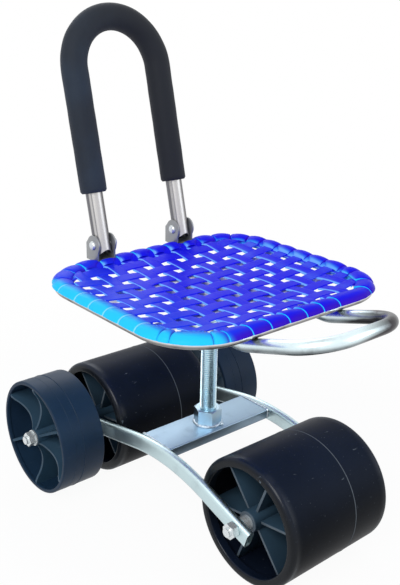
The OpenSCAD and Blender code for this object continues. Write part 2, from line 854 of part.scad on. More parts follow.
// The bow's route in its own frame: y up along the legs, from y_from on
module bow_route(r, y_from, fn) {
    both_sides() translate([bow_x, y_from, 0]) rotate([-90, 0, 0])
        cylinder(r = r, h = bow_len - y_from, $fn = fn);
    translate([0, bow_len, 0]) rotate_extrude(angle = 180, $fn = big_fn) translate([bow_x, 0])
        circle(r = r, $fn = fn);
}

// Puts the bow's own frame at its folding axis
module at_bow() {
    translate([0, mid_y + pivot_y, pivot_z]) rotate([90 - lean, 0, 0]) children();
}

module back_bow() color("lightgray") at_bow() difference() {
    bow_route(bow_r, -bow_tail, mid_fn);
    bow_route(bow_r - bow_t, -bow_tail - over, mid_fn);
    // Holes for the folding bolts
    both_sides() rod_x(bolt_r + run_gap, bow_x - ear_x, bow_x + ear_x);
}

module foam_sleeve() color("dimgray") at_bow() difference() {
    bow_route(foam_r, foam_low, mid_fn);
    bow_route(bow_r + gap, foam_low - over, mid_fn);
}

crossbar();
lift_nut();
arm_left();
arm_right();
front_axle();
rear_axle();
axle_nuts();
wheel_washers();
roller_collars();
wheel_collars();
front_roller();
front_roller_bushes();
rear_roller();
rear_roller_bushes();
wheel_left();
wheel_left_bushes();
wheel_right();
wheel_right_bushes();
lift_screw();
seat_cover();
seat_ring();
seat_bars();
hub_plate();
screw_hub();
hand_loop();
loop_stubs();
bracket_left();
bracket_right();
bow_bolts();
bow_nuts();
cover_screws();
back_bow();
foam_sleeve();
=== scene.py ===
"""Rolling garden seat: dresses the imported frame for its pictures.

Every length is in metres, in the row frame: +X along the axles to the right,
+Y to the back, +Z up from the floor.
"""
from __future__ import annotations

import json
import logging
import math
from dataclasses import dataclass
from enum import Enum
from typing import Sequence, Union

import bmesh
import bpy
from bmesh.types import BMEdge, BMesh, BMVert
from mathutils import Matrix, Vector

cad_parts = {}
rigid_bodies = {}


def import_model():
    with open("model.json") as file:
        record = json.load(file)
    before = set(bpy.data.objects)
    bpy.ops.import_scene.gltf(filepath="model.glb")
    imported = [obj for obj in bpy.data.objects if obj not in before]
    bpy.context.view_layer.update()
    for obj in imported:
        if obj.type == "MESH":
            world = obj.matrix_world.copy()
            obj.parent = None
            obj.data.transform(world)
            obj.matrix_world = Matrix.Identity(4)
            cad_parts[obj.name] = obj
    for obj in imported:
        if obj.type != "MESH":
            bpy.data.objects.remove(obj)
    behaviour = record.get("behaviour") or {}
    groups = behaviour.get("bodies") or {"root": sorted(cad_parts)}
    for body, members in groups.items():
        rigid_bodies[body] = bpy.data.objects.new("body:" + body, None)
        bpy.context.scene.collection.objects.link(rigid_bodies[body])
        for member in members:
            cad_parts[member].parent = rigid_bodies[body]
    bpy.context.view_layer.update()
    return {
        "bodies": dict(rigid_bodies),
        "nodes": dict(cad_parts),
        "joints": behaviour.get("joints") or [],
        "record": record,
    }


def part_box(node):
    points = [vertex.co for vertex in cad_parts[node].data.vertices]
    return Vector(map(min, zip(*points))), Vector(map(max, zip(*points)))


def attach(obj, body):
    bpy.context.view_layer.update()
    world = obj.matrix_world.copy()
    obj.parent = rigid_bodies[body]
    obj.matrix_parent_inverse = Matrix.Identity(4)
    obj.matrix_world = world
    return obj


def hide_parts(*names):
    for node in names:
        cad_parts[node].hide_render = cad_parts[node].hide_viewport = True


LOG = logging.getLogger("garden_seat")
MM = 0.001
TAU = 2 * math.pi
Colour = tuple[float, float, float]
Span = tuple[float, float]
Point = tuple[float, float]
Value = Union["Wave", float, Sequence[float]]


class Graph:
    """The node tree of one material or world, with short calls for its nodes."""

    def __init__(self, name: str, world: bool = False) -> None:
        """Starts a material or a world with its bare shader.

        Args:
            name: its name.
            world: whether it is a world.
        """
        self.owner = (bpy.data.worlds if world else bpy.data.materials).new(name)
        self.owner.use_nodes = True
        self.tree = self.owner.node_tree
        self.shader = self.find("BACKGROUND" if world else "BSDF_PRINCIPLED")

    def find(self, kind: str) -> bpy.types.Node:
        """The first node whose type starts with a word."""
        return next(n for n in self.tree.nodes if n.type.startswith(kind))

    def node(self, kind: str, settings: dict | None = None,
             inputs: dict | None = None) -> bpy.types.Node:
        """Adds one node.

        Args:
            kind: the node's type name.
            settings: properties that are set first.
            inputs: socket name or index to a value, a colour or a Wave.

        Returns:
            The new node.
        """
        made = self.tree.nodes.new(kind)
        for key, value in (settings or {}).items():
            setattr(made, key, value)
        for key, value in (inputs or {}).items():
            self.feed(made.inputs[key], value)
        return made

    def feed(self, socket: bpy.types.NodeSocket, value: Value) -> None:
        """Links or sets one input socket.

        Args:
            socket: the input.
            value: a Wave to link, or a value or colour to set.
        """
        if isinstance(value, Wave):
            self.tree.links.new(value.socket, socket)
        elif isinstance(value, (tuple, list)) and len(value) == 3 and socket.type == "RGBA":
            socket.default_value = (*value, 1.0)
        else:
            socket.default_value = value

    def wave(self, node: bpy.types.Node, output: int | str = 0) -> Wave:
        """Wraps a node's output for sums."""
        return Wave(self, node.outputs[output])

    def place(self) -> Wave:
        """The point on the piece, in metres."""
        return self.wave(self.node("ShaderNodeTexCoord"), "Object")

    def facing(self) -> Wave:
        """The surface's own normal."""
        return self.wave(self.node("ShaderNodeNewGeometry"), "Normal")

    def axis(self, vector: Wave, name: str) -> Wave:
        """One component, X, Y or Z, of a vector."""
        return self.wave(self.node("ShaderNodeSeparateXYZ", None, {0: vector}), name)

    def along(self, vector: Wave, x: float, y: float) -> Wave:
        """How far a vector reaches in a level direction."""
        return self.axis(vector, "X") * x + self.axis(vector, "Y") * y

    def noise(self, scale: float, detail: float = 4.0, rough: float = 0.5,
              stretch: Sequence[float] = (1, 1, 1)) -> Wave:
        """Fractal noise of about one cell per 1/scale metres.

        Args:
            scale: cells per metre.
            detail: octaves.
            rough: weight of the finer octaves.
            stretch: factor of the scale along each axis.

        Returns:
            A value from 0 to 1.
        """
        moved = self.node("ShaderNodeMapping", None,
                          {"Vector": self.place(), "Scale": tuple(stretch)})
        return self.wave(self.node("ShaderNodeTexNoise", None,
                                   {"Vector": self.wave(moved), "Scale": scale,
                                    "Detail": detail, "Roughness": rough}), 0)

    def ramp(self, value: Wave, low: float, high: float) -> Wave:
        """A smooth step from 0 at low to 1 at high."""
        return self.wave(self.node("ShaderNodeMapRange", {"interpolation_type": "SMOOTHSTEP"},
                                   {"Value": value, "From Min": low, "From Max": high}))

    def blend(self, factor: Value, first: Value, second: Value) -> Wave:
        """Mixes two colours, which are inputs 6 and 7 of a Mix node; output 2 is their mix.

        Args:
            factor: share of the second colour.
            first: the colour at 0.
            second: the colour at 1.

        Returns:
            The mixed colour.
        """
        settings, inputs = {"data_type": "RGBA"}, {0: factor, 6: first, 7: second}
        return self.wave(self.node("ShaderNodeMix", settings, inputs), 2)

    def bump(self, height: Wave, depth: float, strength: float) -> None:
        """Feeds a height through a Bump node to the shader's normal."""
        inputs = {"Height": height, "Distance": depth, "Strength": strength}
        self.set(Normal=self.wave(self.node("ShaderNodeBump", None, inputs)))

    def seen(self) -> Wave:
        """1 for rays from the camera and from gloss, 0 for others."""
        path = self.node("ShaderNodeLightPath")
        return self.wave(path, "Is Camera Ray").most(self.wave(path, "Is Glossy Ray"))

    def show(self, factor: Wave, other: bpy.types.Node) -> None:
        """Shows a mix of the bare shader and another one.

        Args:
            factor: share of the other shader.
            other: the other shader's node.
        """
        inputs = {0: factor, 1: self.wave(self.shader), 2: self.wave(other)}
        self.feed(self.find("OUTPUT").inputs[0],
                  self.wave(self.node("ShaderNodeMixShader", None, inputs)))

    def set(self, **sockets: Value) -> None:
        """Sets or links sockets of the bare shader; _ stands for a space."""
        for key, value in sockets.items():
            self.feed(self.shader.inputs[key.replace("_", " ")], value)


class Wave:
    """A value or vector socket that takes part in sums."""

    def __init__(self, graph: Graph, socket: bpy.types.NodeSocket) -> None:
        """Wraps one output socket."""
        self.graph, self.socket = graph, socket

    def _math(self, operation: str, *values: Value) -> Wave:
        """One Math node on these values."""
        settings, inputs = {"operation": operation}, dict(enumerate(values))
        return self.graph.wave(self.graph.node("ShaderNodeMath", settings, inputs))

    def __add__(self, other: Value) -> Wave:
        """Sum."""
        return self._math("ADD", self, other)

    __radd__ = __add__

    def __sub__(self, other: Value) -> Wave:
        """Difference."""
        return self._math("SUBTRACT", self, other)

    def __rsub__(self, other: Value) -> Wave:
        """Difference from a number."""
        return self._math("SUBTRACT", other, self)

    def __mul__(self, other: Value) -> Wave:
        """Product."""
        return self._math("MULTIPLY", self, other)

    __rmul__ = __mul__

    def __pow__(self, other: Value) -> Wave:
        """Power."""
        return self._math("POWER", self, other)

    def __rpow__(self, other: Value) -> Wave:
        """Power of a number."""
        return self._math("POWER", other, self)

    def clip(self) -> Wave:
        """Held between 0 and 1."""
        return self._math("MINIMUM", self._math("MAXIMUM", self, 0.0), 1.0)

    def most(self, other: Value) -> Wave:
        """The larger of two values."""
        return self._math("MAXIMUM", self, other)

    def size(self) -> Wave:
        """Absolute value."""
        return self._math("ABSOLUTE", self)


# The picture's right, in the seat's plane, for tones that follow the photo's light
PICTURE_RIGHT = (0.759, -0.651)


@dataclass(frozen=True)
class BlueMoulding:
    """Glossy ultramarine plastic with painted light: cyan where it faces left, painted highlights,
    sheen and shade.
    """

    deep: Colour = (0.009, 0.008, 0.76)
    # Painted shade where the rim faces the front
    painted_front_shade: Colour = (0.038, 0.005, 0.53)
    # Painted sheen over the left of the field
    sheen: Colour = (0.013, 0.055, 0.80)
    # Painted highlight along the field's edges that face left
    line: Colour = (0.17, 0.42, 0.98)
    # Painted cyan light on the rim where it faces left and at its left end
    painted_rim_light: Colour = (0.022, 0.54, 0.92)
    # Painted highlight on the left rim's walls that face the front
    painted_glint: Colour = (0.36, 0.80, 0.97)
    middle_y: float = 2 * MM
    # Half sizes of the oblong where the rim starts, and where its mask rises
    rim_x: float = 170 * MM
    rim_y: float = 148 * MM
    rim_span: Span = (0.88, 1.20)
    # Where the masks rise: the painted sheen over the field's left half, the painted cyan light at
    # the rim's left end, and the fading of the painted light on its right side
    left_span: Span = (0.02, 0.20)
    end_span: Span = (0.146, 0.168)
    far_span: Span = (0.10, 0.16)
    # How far a face must lean for the painted shade on the rim's front, the field's painted
    # highlight lines and the wraps' painted cyan light
    front_lean: Span = (0.25, 0.95)
    line_lean: Span = (0.07, 0.38)
    wrap_lean: Span = (0.42, 0.62)

    def make(self) -> bpy.types.Material:
        """Builds the material.

        Returns:
            The finished material.
        """
        g = Graph("blue_moulding")
        normal, place = g.facing(), g.place()
        across, along = g.axis(place, "X"), g.axis(place, "Y") - self.middle_y
        to_right, to_back = g.axis(normal, "X"), g.axis(normal, "Y")
        mottle = g.noise(22.0, 3.0) - 0.5
        left = to_right * -0.80 + to_back * -0.06
        front = to_back * -1.0 + to_right * 0.3

        rim = g.ramp((across * (1 / self.rim_x)) ** 4.0 + (along * (1 / self.rim_y)) ** 4.0,
                     *self.rim_span)
        painted_sheen_mask = g.ramp(across * -1.0 + mottle * 0.05, *self.left_span)
        end = g.ramp(across * -1.0 + along * -0.2 + mottle * 0.004, *self.end_span) * rim
        far = g.ramp(across + along * 0.6, *self.far_span)

        # Painted sheen over the left of the field, by place
        colour = g.blend(painted_sheen_mask * 0.85, self.deep, self.sheen)
        # Painted shade where the rim faces the front
        colour = g.blend(g.ramp(front + mottle * 0.2, *self.front_lean) * rim, colour, self.painted_front_shade)
        # Painted highlight lines on the field and painted cyan light on the rim, where faces turn
        # left; less of it on the rim's right side
        inner = g.ramp(left + mottle * 0.12, *self.line_lean)
        outer = (g.ramp(left, *self.wrap_lean) * (1 - far * 0.75)).most(
            end * (g.ramp(left, -0.30, 0.30) * 0.85 + 0.15))
        lit = inner * (1 - rim) + outer * rim
        colour = g.blend(lit, colour, g.blend(rim, self.line, self.painted_rim_light))
        # Painted highlight on the front-facing walls at the rim's left end
        painted_glint_mask = g.ramp(to_back * -1.0, 0.30, 0.85) * end * g.ramp(along, -0.105, -0.080)
        colour = g.blend(painted_glint_mask * 0.8, colour, self.painted_glint)

        g.set(Base_Color=colour, Roughness=g.noise(60.0) * 0.12 + 0.26, IOR=1.5,
              Specular_IOR_Level=0.035)
        g.bump(g.noise(900.0, 2.0), 0.00006, 0.5)
        return g.owner


@dataclass(frozen=True)
class DarkPlastic:
    """Near-black moulded plastic with scuffs and fine dust, and painted light: bluer where it faces
    up, paler on the ribs' end faces where set.
    """

    name: str
    base: Colour
    # Painted bluish light on faces that look up
    painted_sky_light: Colour
    scuff: Colour
    roughness: float
    scuffs: float
    specular: float
    # Distances from the middle along the axle, or none: the shoulders' gloss rises in the first
    # span, painted light on the ribs' end faces in the second, and the moulding line is at the seam
    shoulder: Span | None = None
    painted_light_tips: Span | None = None
    seam: float | None = None

    def make(self) -> bpy.types.Material:
        """Builds the material.

        Returns:
            The finished material.
        """
        g = Graph(self.name)
        cloud = g.noise(9.0, 5.0, 0.6)
        scratch = g.ramp(g.noise(30.0, 6.0, 0.75, (1.0, 3.0, 3.0)), 0.64, 0.70)
        specks = g.ramp(g.noise(300.0, 2.0), 0.70, 0.76)
        worn = scratch * g.ramp(cloud, 0.42, 0.58) * self.scuffs + specks * 0.22 * self.scuffs
        worn = worn.clip()

        patchy = g.ramp(cloud, 0.3, 0.7)
        side = g.blend(patchy, self.base, tuple(c * 1.5 for c in self.base))
        # Painted bluish light from above, for faces that look up
        top = g.blend(patchy, self.painted_sky_light, tuple(c * 1.3 for c in self.painted_sky_light))
        tone = g.blend(g.ramp(g.axis(g.facing(), "Z"), 0.05, 0.95), side, top)
        # Paler marks: wear, the moulding line and, where set, painted light on the ribs' end faces
        across, pale = g.axis(g.place(), "X"), worn
        if self.seam is not None:
            off = (across - self.seam).size()
            pale = pale + (1 - g.ramp(off, 0.3 * MM, 1.1 * MM)) * 0.45
        # Painted light on the faces that look out along the axle, near the open ends
        if self.painted_light_tips is not None:
            end_on = g.ramp(g.axis(g.facing(), "X").size(), 0.75, 0.95)
            pale = pale + g.ramp(across.size(), *self.painted_light_tips) * end_on * 0.5
        if self.shoulder is not None:
            g.set(Coat_Weight=g.ramp(across.size(), *self.shoulder) * 0.3, Coat_Roughness=0.22,
                  Coat_Tint=(0.55, 0.80, 1.0))

        rough = cloud * 0.16 + self.roughness - 0.08 + worn * 0.25
        g.set(Base_Color=g.blend(pale.clip(), tone, self.scuff), Roughness=rough.clip(),
              IOR=1.5, Specular_IOR_Level=self.specular)
        g.bump(g.noise(700.0, 2.0) + scratch * 0.3, 0.00005, 0.6)
        return g.owner


@dataclass(frozen=True)
class PlatedMetal:
    """Metal with cloudy plating, fine drawn lines, painted shade on faces that look down and, where
    set, more painted shade towards the right.
    """

    name: str
    base: Colour
    shade: Colour
    roughness: float
    lines: tuple = (1.0, 1.0, 1.0)
    line_scale: float = 300.0
    line_depth: float = 0.00002
    metallic: float = 1.0
    # How far a face must look down to take painted shade, and how far along PICTURE_RIGHT a place
    # must lie for more painted shade, or none
    under: Span = (-0.15, 0.95)
    painted_shade_right: Span | None = None

    def make(self) -> bpy.types.Material:
        """Builds the material.

        Returns:
            The finished material.
        """
        g = Graph(self.name)
        cloud = g.noise(34.0, 5.0, 0.6)
        lines = g.noise(self.line_scale, 3.0, 0.6, self.lines)
        # Painted shade on faces that look down, mixed with the plating's cloudiness
        under = g.ramp(g.axis(g.facing(), "Z") * -1.0, *self.under)
        cloudy_and_painted_shade = under * 0.75 + g.ramp(cloud, 0.5, 0.8) * 0.30
        if self.painted_shade_right is not None:
            # More painted shade towards the right
            cloudy_and_painted_shade = cloudy_and_painted_shade + g.ramp(g.along(g.place(), *PICTURE_RIGHT), *self.painted_shade_right) * 0.96
        g.set(Base_Color=g.blend(cloudy_and_painted_shade.clip(), self.base, self.shade), Metallic=self.metallic,
              Roughness=(lines * 0.14 + cloud * 0.12 + self.roughness - 0.13).clip())
        g.bump(lines, self.line_depth, 0.6)
        return g.owner


@dataclass(frozen=True)
class PolishedTube:
    """Polished upright tube with painted reflections: light and dark stripes painted down it by
    which way each face turns.
    """

    cream: Colour = (0.55, 0.54, 0.53)
    # Painted reflection stripe and painted shade on the side that faces left
    painted_shade_grey: Colour = (0.17, 0.17, 0.185)
    # Painted shade on the side that faces right
    dark: Colour = (0.07, 0.066, 0.07)

    def make(self) -> bpy.types.Material:
        """Builds the material.

        Returns:
            The finished material.
        """
        g = Graph("polished_tube")
        uneven = (g.noise(9.0, 2.0, 0.5, (1, 1, 0.4)) - 0.5) * 0.10
        # Painted reflections and painted shade, by how far each face turns towards PICTURE_RIGHT
        lean = g.along(g.facing(), *PICTURE_RIGHT) + uneven
        left = 1 - g.ramp(lean, -0.62, -0.46)
        painted_reflection_band = g.ramp(lean, -0.34, -0.26) * (1 - g.ramp(lean, -0.20, -0.10))
        right = g.ramp(lean, 0.60, 0.97)
        colour = g.blend((painted_reflection_band * 0.7).clip(), self.cream, self.painted_shade_grey)
        colour = g.blend(left, colour, self.painted_shade_grey)
        colour = g.blend(right * 0.85, colour, self.dark)
        lines = g.noise(120.0, 3.0, 0.6, (18, 18, 1))
        g.set(Base_Color=colour, Metallic=0.9, Roughness=(lines * 0.12 + 0.26).clip())
        g.bump(lines, 0.00002, 0.5)
        return g.owner


@dataclass(frozen=True)
class GripFoam:
    """Charcoal closed-cell foam with fine pores, dust, a soft sheen and painted light that makes
    its left limb paler and bluer.
    """

    base: Colour = (0.0135, 0.0155, 0.0210)
    # Painted light on the left limb
    pale: Colour = (0.022, 0.034, 0.055)

    def make(self) -> bpy.types.Material:
        """Builds the material.

        Returns:
            The finished material.
        """
        g = Graph("grip_foam")
        pores = g.noise(1500.0, 2.0, 0.7)
        cloud = g.noise(14.0, 4.0)
        dust = g.ramp(g.noise(260.0, 3.0), 0.6, 0.75)
        # Painted light on the left limb, by place
        left = g.ramp(g.axis(g.place(), "X") * -1.0 + cloud * 0.04, -0.02, 0.10)
        # Random tone, dust and the painted light on the left limb together
        light = g.ramp(cloud, 0.35, 0.7) * 0.5 + dust * 0.12 + left * 0.3
        colour = g.blend(light.clip(), self.base, g.blend(left, self.base, self.pale))
        g.set(Base_Color=colour, Roughness=pores * 0.15 + 0.62, IOR=1.45,
              Specular_IOR_Level=0.2, Sheen_Weight=0.08, Sheen_Roughness=0.5)
        g.bump(pores + g.noise(240.0, 3.0) * 0.8, 0.00018, 0.7)
        return g.owner


class Look(Enum):
    """The finishes by name."""

    BLUE = BlueMoulding()
    ROLLER = DarkPlastic("roller_moulding", (0.0040, 0.0048, 0.0066), (0.0060, 0.0100, 0.021),
                         (0.20, 0.23, 0.26), 0.40, 0.75, 0.035, (0.074, 0.086), seam=0.0245)
    CORE = DarkPlastic("roller_core", (0.010, 0.021, 0.034), (0.026, 0.054, 0.084),
                       (0.16, 0.20, 0.24), 0.42, 0.3, 0.16, painted_light_tips=(0.058, 0.064))
    WHEEL = DarkPlastic("wheel_moulding", (0.0080, 0.0200, 0.0410), (0.010, 0.027, 0.055),
                        (0.12, 0.15, 0.18), 0.42, 0.35, 0.12)
    SPOKES = DarkPlastic("wheel_core", (0.018, 0.045, 0.075), (0.028, 0.062, 0.100),
                         (0.14, 0.18, 0.22), 0.40, 0.25, 0.22)
    NYLON = DarkPlastic("bush_nylon", (0.020, 0.021, 0.023), (0.030, 0.032, 0.036),
                        (0.10, 0.10, 0.10), 0.5, 0.1, 0.3)
    FOAM = GripFoam()
    ZINC = PlatedMetal("zinc_plate", (0.60, 0.75, 0.78), (0.24, 0.27, 0.31), 0.38)
    # Painted shade under it and towards its right end
    LOOP = PlatedMetal("loop_zinc", (0.80, 0.94, 0.98), (0.050, 0.047, 0.052), 0.30,
                       under=(-0.20, 0.45), painted_shade_right=(0.156, 0.208))
    CROSS = PlatedMetal("crossbar_coat", (0.30, 0.41, 0.51), (0.10, 0.12, 0.15), 0.42,
                        (1, 12, 12), 60.0, under=(-0.30, 0.5))
    NUT = PlatedMetal("lift_nut_zinc", (0.42, 0.56, 0.66), (0.12, 0.17, 0.21), 0.30)
    THREAD = PlatedMetal("thread_zinc", (0.74, 0.94, 1.0), (0.34, 0.50, 0.62), 0.30)
    BOW = PolishedTube()
    BRACKET = PlatedMetal("pressed_bracket", (0.31, 0.32, 0.325), (0.16, 0.155, 0.15), 0.32,
                          metallic=0.55)
    BRIGHT = PlatedMetal("bright_steel", (0.72, 0.76, 0.77), (0.24, 0.26, 0.29), 0.26,
                         metallic=0.6)
    # Strong painted shade on its lower side
    RING = PlatedMetal("drawn_ring", (0.78, 0.78, 0.78), (0.045, 0.038, 0.034), 0.32,
                       under=(-0.25, 0.35))
    PLATE = PlatedMetal("bar_zinc", (0.95, 0.96, 0.97), (0.60, 0.60, 0.62), 0.30,
                        metallic=0.35, under=(0.2, 1.0))
    BURNT = PlatedMetal("burnt_weld", (0.05, 0.05, 0.055), (0.02, 0.02, 0.02), 0.5,
                        line_scale=500.0, line_depth=0.0002)
    WELD = PlatedMetal("weld_bead", (0.60, 0.68, 0.74), (0.24, 0.27, 0.30), 0.38,
                       line_scale=500.0, line_depth=0.0002)


class Workshop:
    """Turns bmeshes into finished pieces that ride on a body, and makes each finish once."""

    def __init__(self) -> None:
        """Starts with no material."""
        self._made: dict[Look, bpy.types.Material] = {}

    def paint(self, mesh: bpy.types.Mesh, look: Look) -> None:
        """Gives a mesh one finish.

        Args:
            mesh: of a piece or of a CAD node.
            look: the finish.
        """
        if look not in self._made:
            self._made[look] = look.value.make()
        mesh.materials.clear()
        mesh.materials.append(self._made[look])

    def piece(self, name: str, bm: BMesh, body: str, look: Look, slot: str,
              stands_for: Sequence[str], sharp: float, fix: bool = True) -> bpy.types.Object:
        """Makes an object from a bmesh.

        Args:
            name: the piece's name.
            bm: its mesh, freed here.
            body: the CAD body that it moves with.
            look: its finish.
            slot: the record's material slot; not used.
            stands_for: the CAD nodes that it replaces.
            sharp: edges bent by more than this many degrees stay crisp.
            fix: whether normals are made to point outwards.

        Returns:
            The finished object.
        """
        bmesh.ops.remove_doubles(bm, verts=bm.verts, dist=1e-6)
        if fix:
            bmesh.ops.recalc_face_normals(bm, faces=bm.faces)
        limit = math.radians(sharp)
        for edge in bm.edges:
            edge.smooth = edge.is_manifold and edge.calc_face_angle(0.0) < limit
        for face in bm.faces:
            face.smooth = True
        mesh = bpy.data.meshes.new(name)
        bm.to_mesh(mesh)
        bm.free()
        made = bpy.data.objects.new(name, mesh)
        bpy.context.scene.collection.objects.link(made)
        self.paint(mesh, look)
        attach(made, body)
        if stands_for:
            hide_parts(*stands_for)
        LOG.info("%s: %d faces", name, len(mesh.polygons))
        return made


def shift(x: float = 0.0, y: float = 0.0, z: float = 0.0) -> Matrix:
    """A move."""
    return Matrix.Translation((x, y, z))


def turn(degrees: float, axis: str) -> Matrix:
    """A turn about X, Y or Z."""
    return Matrix.Rotation(math.radians(degrees), 4, axis)


def middle(node: str) -> Vector:
    """The middle of a CAD node's box."""
    low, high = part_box(node)
    return (low + high) / 2


def lathe(bm: BMesh, outline: Sequence[Point], steps: int, place: Matrix) -> None:
    """Spins a closed outline once round the local Z axis.

    Args:
        bm: the mesh to add to.
        outline: radius and height of each corner, in order.
        steps: number of steps of the spin.
        place: where the local frame lies.
    """
    verts = [bm.verts.new(place @ Vector((r, 0.0, h))) for r, h in outline]
    edges = [bm.edges.new(pair) for pair in zip(verts, verts[1:] + verts[:1])]
    bmesh.ops.spin(bm, geom=verts + edges, cent=place.translation,
                   axis=place.to_3x3() @ Vector((0, 0, 1)), angle=TAU, steps=steps, use_merge=True)


def rounded(corners: Sequence[Sequence[float]], cuts: int) -> list[Point]:
    """Rounds the corners of a closed outline.

    Args:
        corners: x, y and rounding radius of each corner, in order.
        cuts: segments per rounded corner.

    Returns:
        The outline's points.
    """
    out: list[Point] = []
    n = len(corners)
    for i, (x, y, radius) in enumerate(corners):
        here = Vector((x, y))
        before = Vector(corners[i - 1][:2]) - here
        after = Vector(corners[(i + 1) % n][:2]) - here
        if radius <= 0:
            out.append((x, y))
            continue
        half = before.angle(after) / 2
        run = min(radius / math.tan(half), before.length * 0.49, after.length * 0.49)
        radius = run * math.tan(half)
        start, end = here + before.normalized() * run, here + after.normalized() * run
        inwards = (before.normalized() + after.normalized()).normalized()
        centre = here + inwards * (radius / math.sin(half))
        a0 = math.atan2(start.y - centre.y, start.x - centre.x)
        a1 = math.atan2(end.y - centre.y, end.x - centre.x)
        sweep = (a1 - a0 + math.pi) % TAU - math.pi
        for k in range(cuts + 1):
            a = a0 + sweep * k / cuts
            out.append((centre.x + radius * math.cos(a), centre.y + radius * math.sin(a)))
    return out


def soften(bm: BMesh, edges: Sequence[BMEdge], width: float) -> None:
    """Bevels some edges by a width."""
    bmesh.ops.bevel(bm, geom=edges, offset=width, offset_type="OFFSET", segments=2, profile=0.5,
                    affect="EDGES", material=-1)


def block(bm: BMesh, low: Sequence[float], high: Sequence[float], place: Matrix,
          edge: float) -> None:
    """A box with bevelled edges.

    Args:
        bm: the mesh to add to.
        low: lowest corner in the local frame.
        high: highest corner.
        place: where the local frame lies.
        edge: width of the bevel.
    """
    size = Vector(high) - Vector(low)
    middle = (Vector(high) + Vector(low)) / 2
    frame = place @ Matrix.Translation(middle) @ Matrix.Diagonal((*size, 1))
    made = bmesh.ops.create_cube(bm, size=1.0, matrix=frame)
    soften(bm, list({e for v in made["verts"] for e in v.link_edges}), edge)


def lattice(bm: BMesh, across: int, along: int) -> list[tuple[BMVert, int, int]]:
    """The corners of a new grid, each with its column and its row."""
    made = bmesh.ops.create_grid(bm, x_segments=across, y_segments=along, size=1.0)["verts"]
    return [(v, round((v.co.x + 1) / 2 * across), round((v.co.y + 1) / 2 * along)) for v in made]


def slab(bm: BMesh, outline: Sequence[Sequence[float]], push: Sequence[float]) -> list[BMVert]:
    """Extrudes a flat outline.

    Args:
        bm: the mesh to add to.
        outline: the corners of the first face, in order.
        push: from the first face to the other one.

    Returns:
        All of its corners.
    """
    verts = [bm.verts.new(corner) for corner in outline]
    out = bmesh.ops.extrude_face_region(bm, geom=[bm.faces.new(verts)])["geom"]
    far = [g for g in out if isinstance(g, BMVert)]
    bmesh.ops.translate(bm, verts=far, vec=push)
    return verts + far


class Tube:
    """A section pushed along straight runs and bends."""

    def __init__(self, bm: BMesh, start: Matrix, section: Sequence[Point]) -> None:
        """Starts a tube whose section lies in the local XY plane and runs along local Z.

        Args:
            bm: the mesh to add to.
            start: the local frame of the first section.
            section: the closed section's points.
        """
        self.bm, self.frame = bm, start.copy()
        verts = [bm.verts.new(start @ Vector((x, y, 0))) for x, y in section]
        self.edges = [bm.edges.new(pair) for pair in zip(verts, verts[1:] + verts[:1])]
        self.first = list(self.edges)

    def run(self, length: float, cuts: int = 1) -> Tube:
        """Goes straight on along local Z.

        Args:
            length: of the run.
            cuts: sections of the run.

        Returns:
            The tube itself.
        """
        for _ in range(cuts):
            step = self.frame.to_3x3() @ Vector((0, 0, length / cuts))
            out = bmesh.ops.extrude_edge_only(self.bm, edges=self.edges)["geom"]
            verts = [g for g in out if isinstance(g, BMVert)]
            bmesh.ops.translate(self.bm, verts=verts, vec=step)
            self.edges = [g for g in out if isinstance(g, BMEdge)
                          and all(v in verts for v in g.verts)]
            self.frame = Matrix.Translation(step) @ self.frame
        return self

    def bend(self, radius: float, degrees: float, side: float, steps: int) -> Tube:
        """Bends towards a direction of the section's plane.

        Args:
            radius: of the bend's middle line.
            degrees: how far it turns.
            side: where the bend's centre lies in the section's plane, in degrees from local X.
            steps: sections of the bend.

        Returns:
            The tube itself.
        """
        a = math.radians(side)
        towards = Vector((math.cos(a), math.sin(a), 0))
        centre = self.frame @ (towards * radius)
        axis = (self.frame.to_3x3() @ Vector((0, 0, 1)).cross(towards)).normalized()
        verts = list({v for e in self.edges for v in e.verts})
        out = bmesh.ops.spin(self.bm, geom=verts + self.edges, cent=centre, axis=axis,
                             angle=math.radians(degrees), steps=steps, use_merge=False)["geom_last"]
        self.edges = [g for g in out if isinstance(g, BMEdge)]
        swing = Matrix.Rotation(math.radians(degrees), 4, axis)
        self.frame = Matrix.Translation(centre) @ swing @ Matrix.Translation(-centre) @ self.frame
        return self

    def close(self) -> None:
        """Fills both ends."""
        for loop in (self.first, self.edges):
            bmesh.ops.contextual_create(self.bm, geom=loop)


def circle(radius: float, count: int) -> list[Point]:
    """Points of a circle."""
    angles = [TAU * k / count for k in range(count)]
    return [(radius * math.cos(a), radius * math.sin(a)) for a in angles]


def oblong(height: float, width: float, radius: float, cuts: int = 4) -> list[Point]:
    """A rounded oblong, its height along x."""
    h, w = height / 2, width / 2
    return rounded([(h, w, radius), (-h, w, radius), (-h, -w, radius), (h, -w, radius)], cuts)


def hollow(tube: bpy.types.Object, wall: float) -> None:
    """Gives an open tube its wall, inwards.

    Args:
        tube: the tube's object.
        wall: thickness of the wall.
    """
    made = tube.modifiers.new("wall", "SOLIDIFY")
    made.thickness = wall
    made.offset = -1.0


def edges_among(verts: Sequence[BMVert]) -> list[BMEdge]:
    """The edges between these corners."""
    return list({e for v in verts for e in v.link_edges if all(w in verts for w in e.verts)})


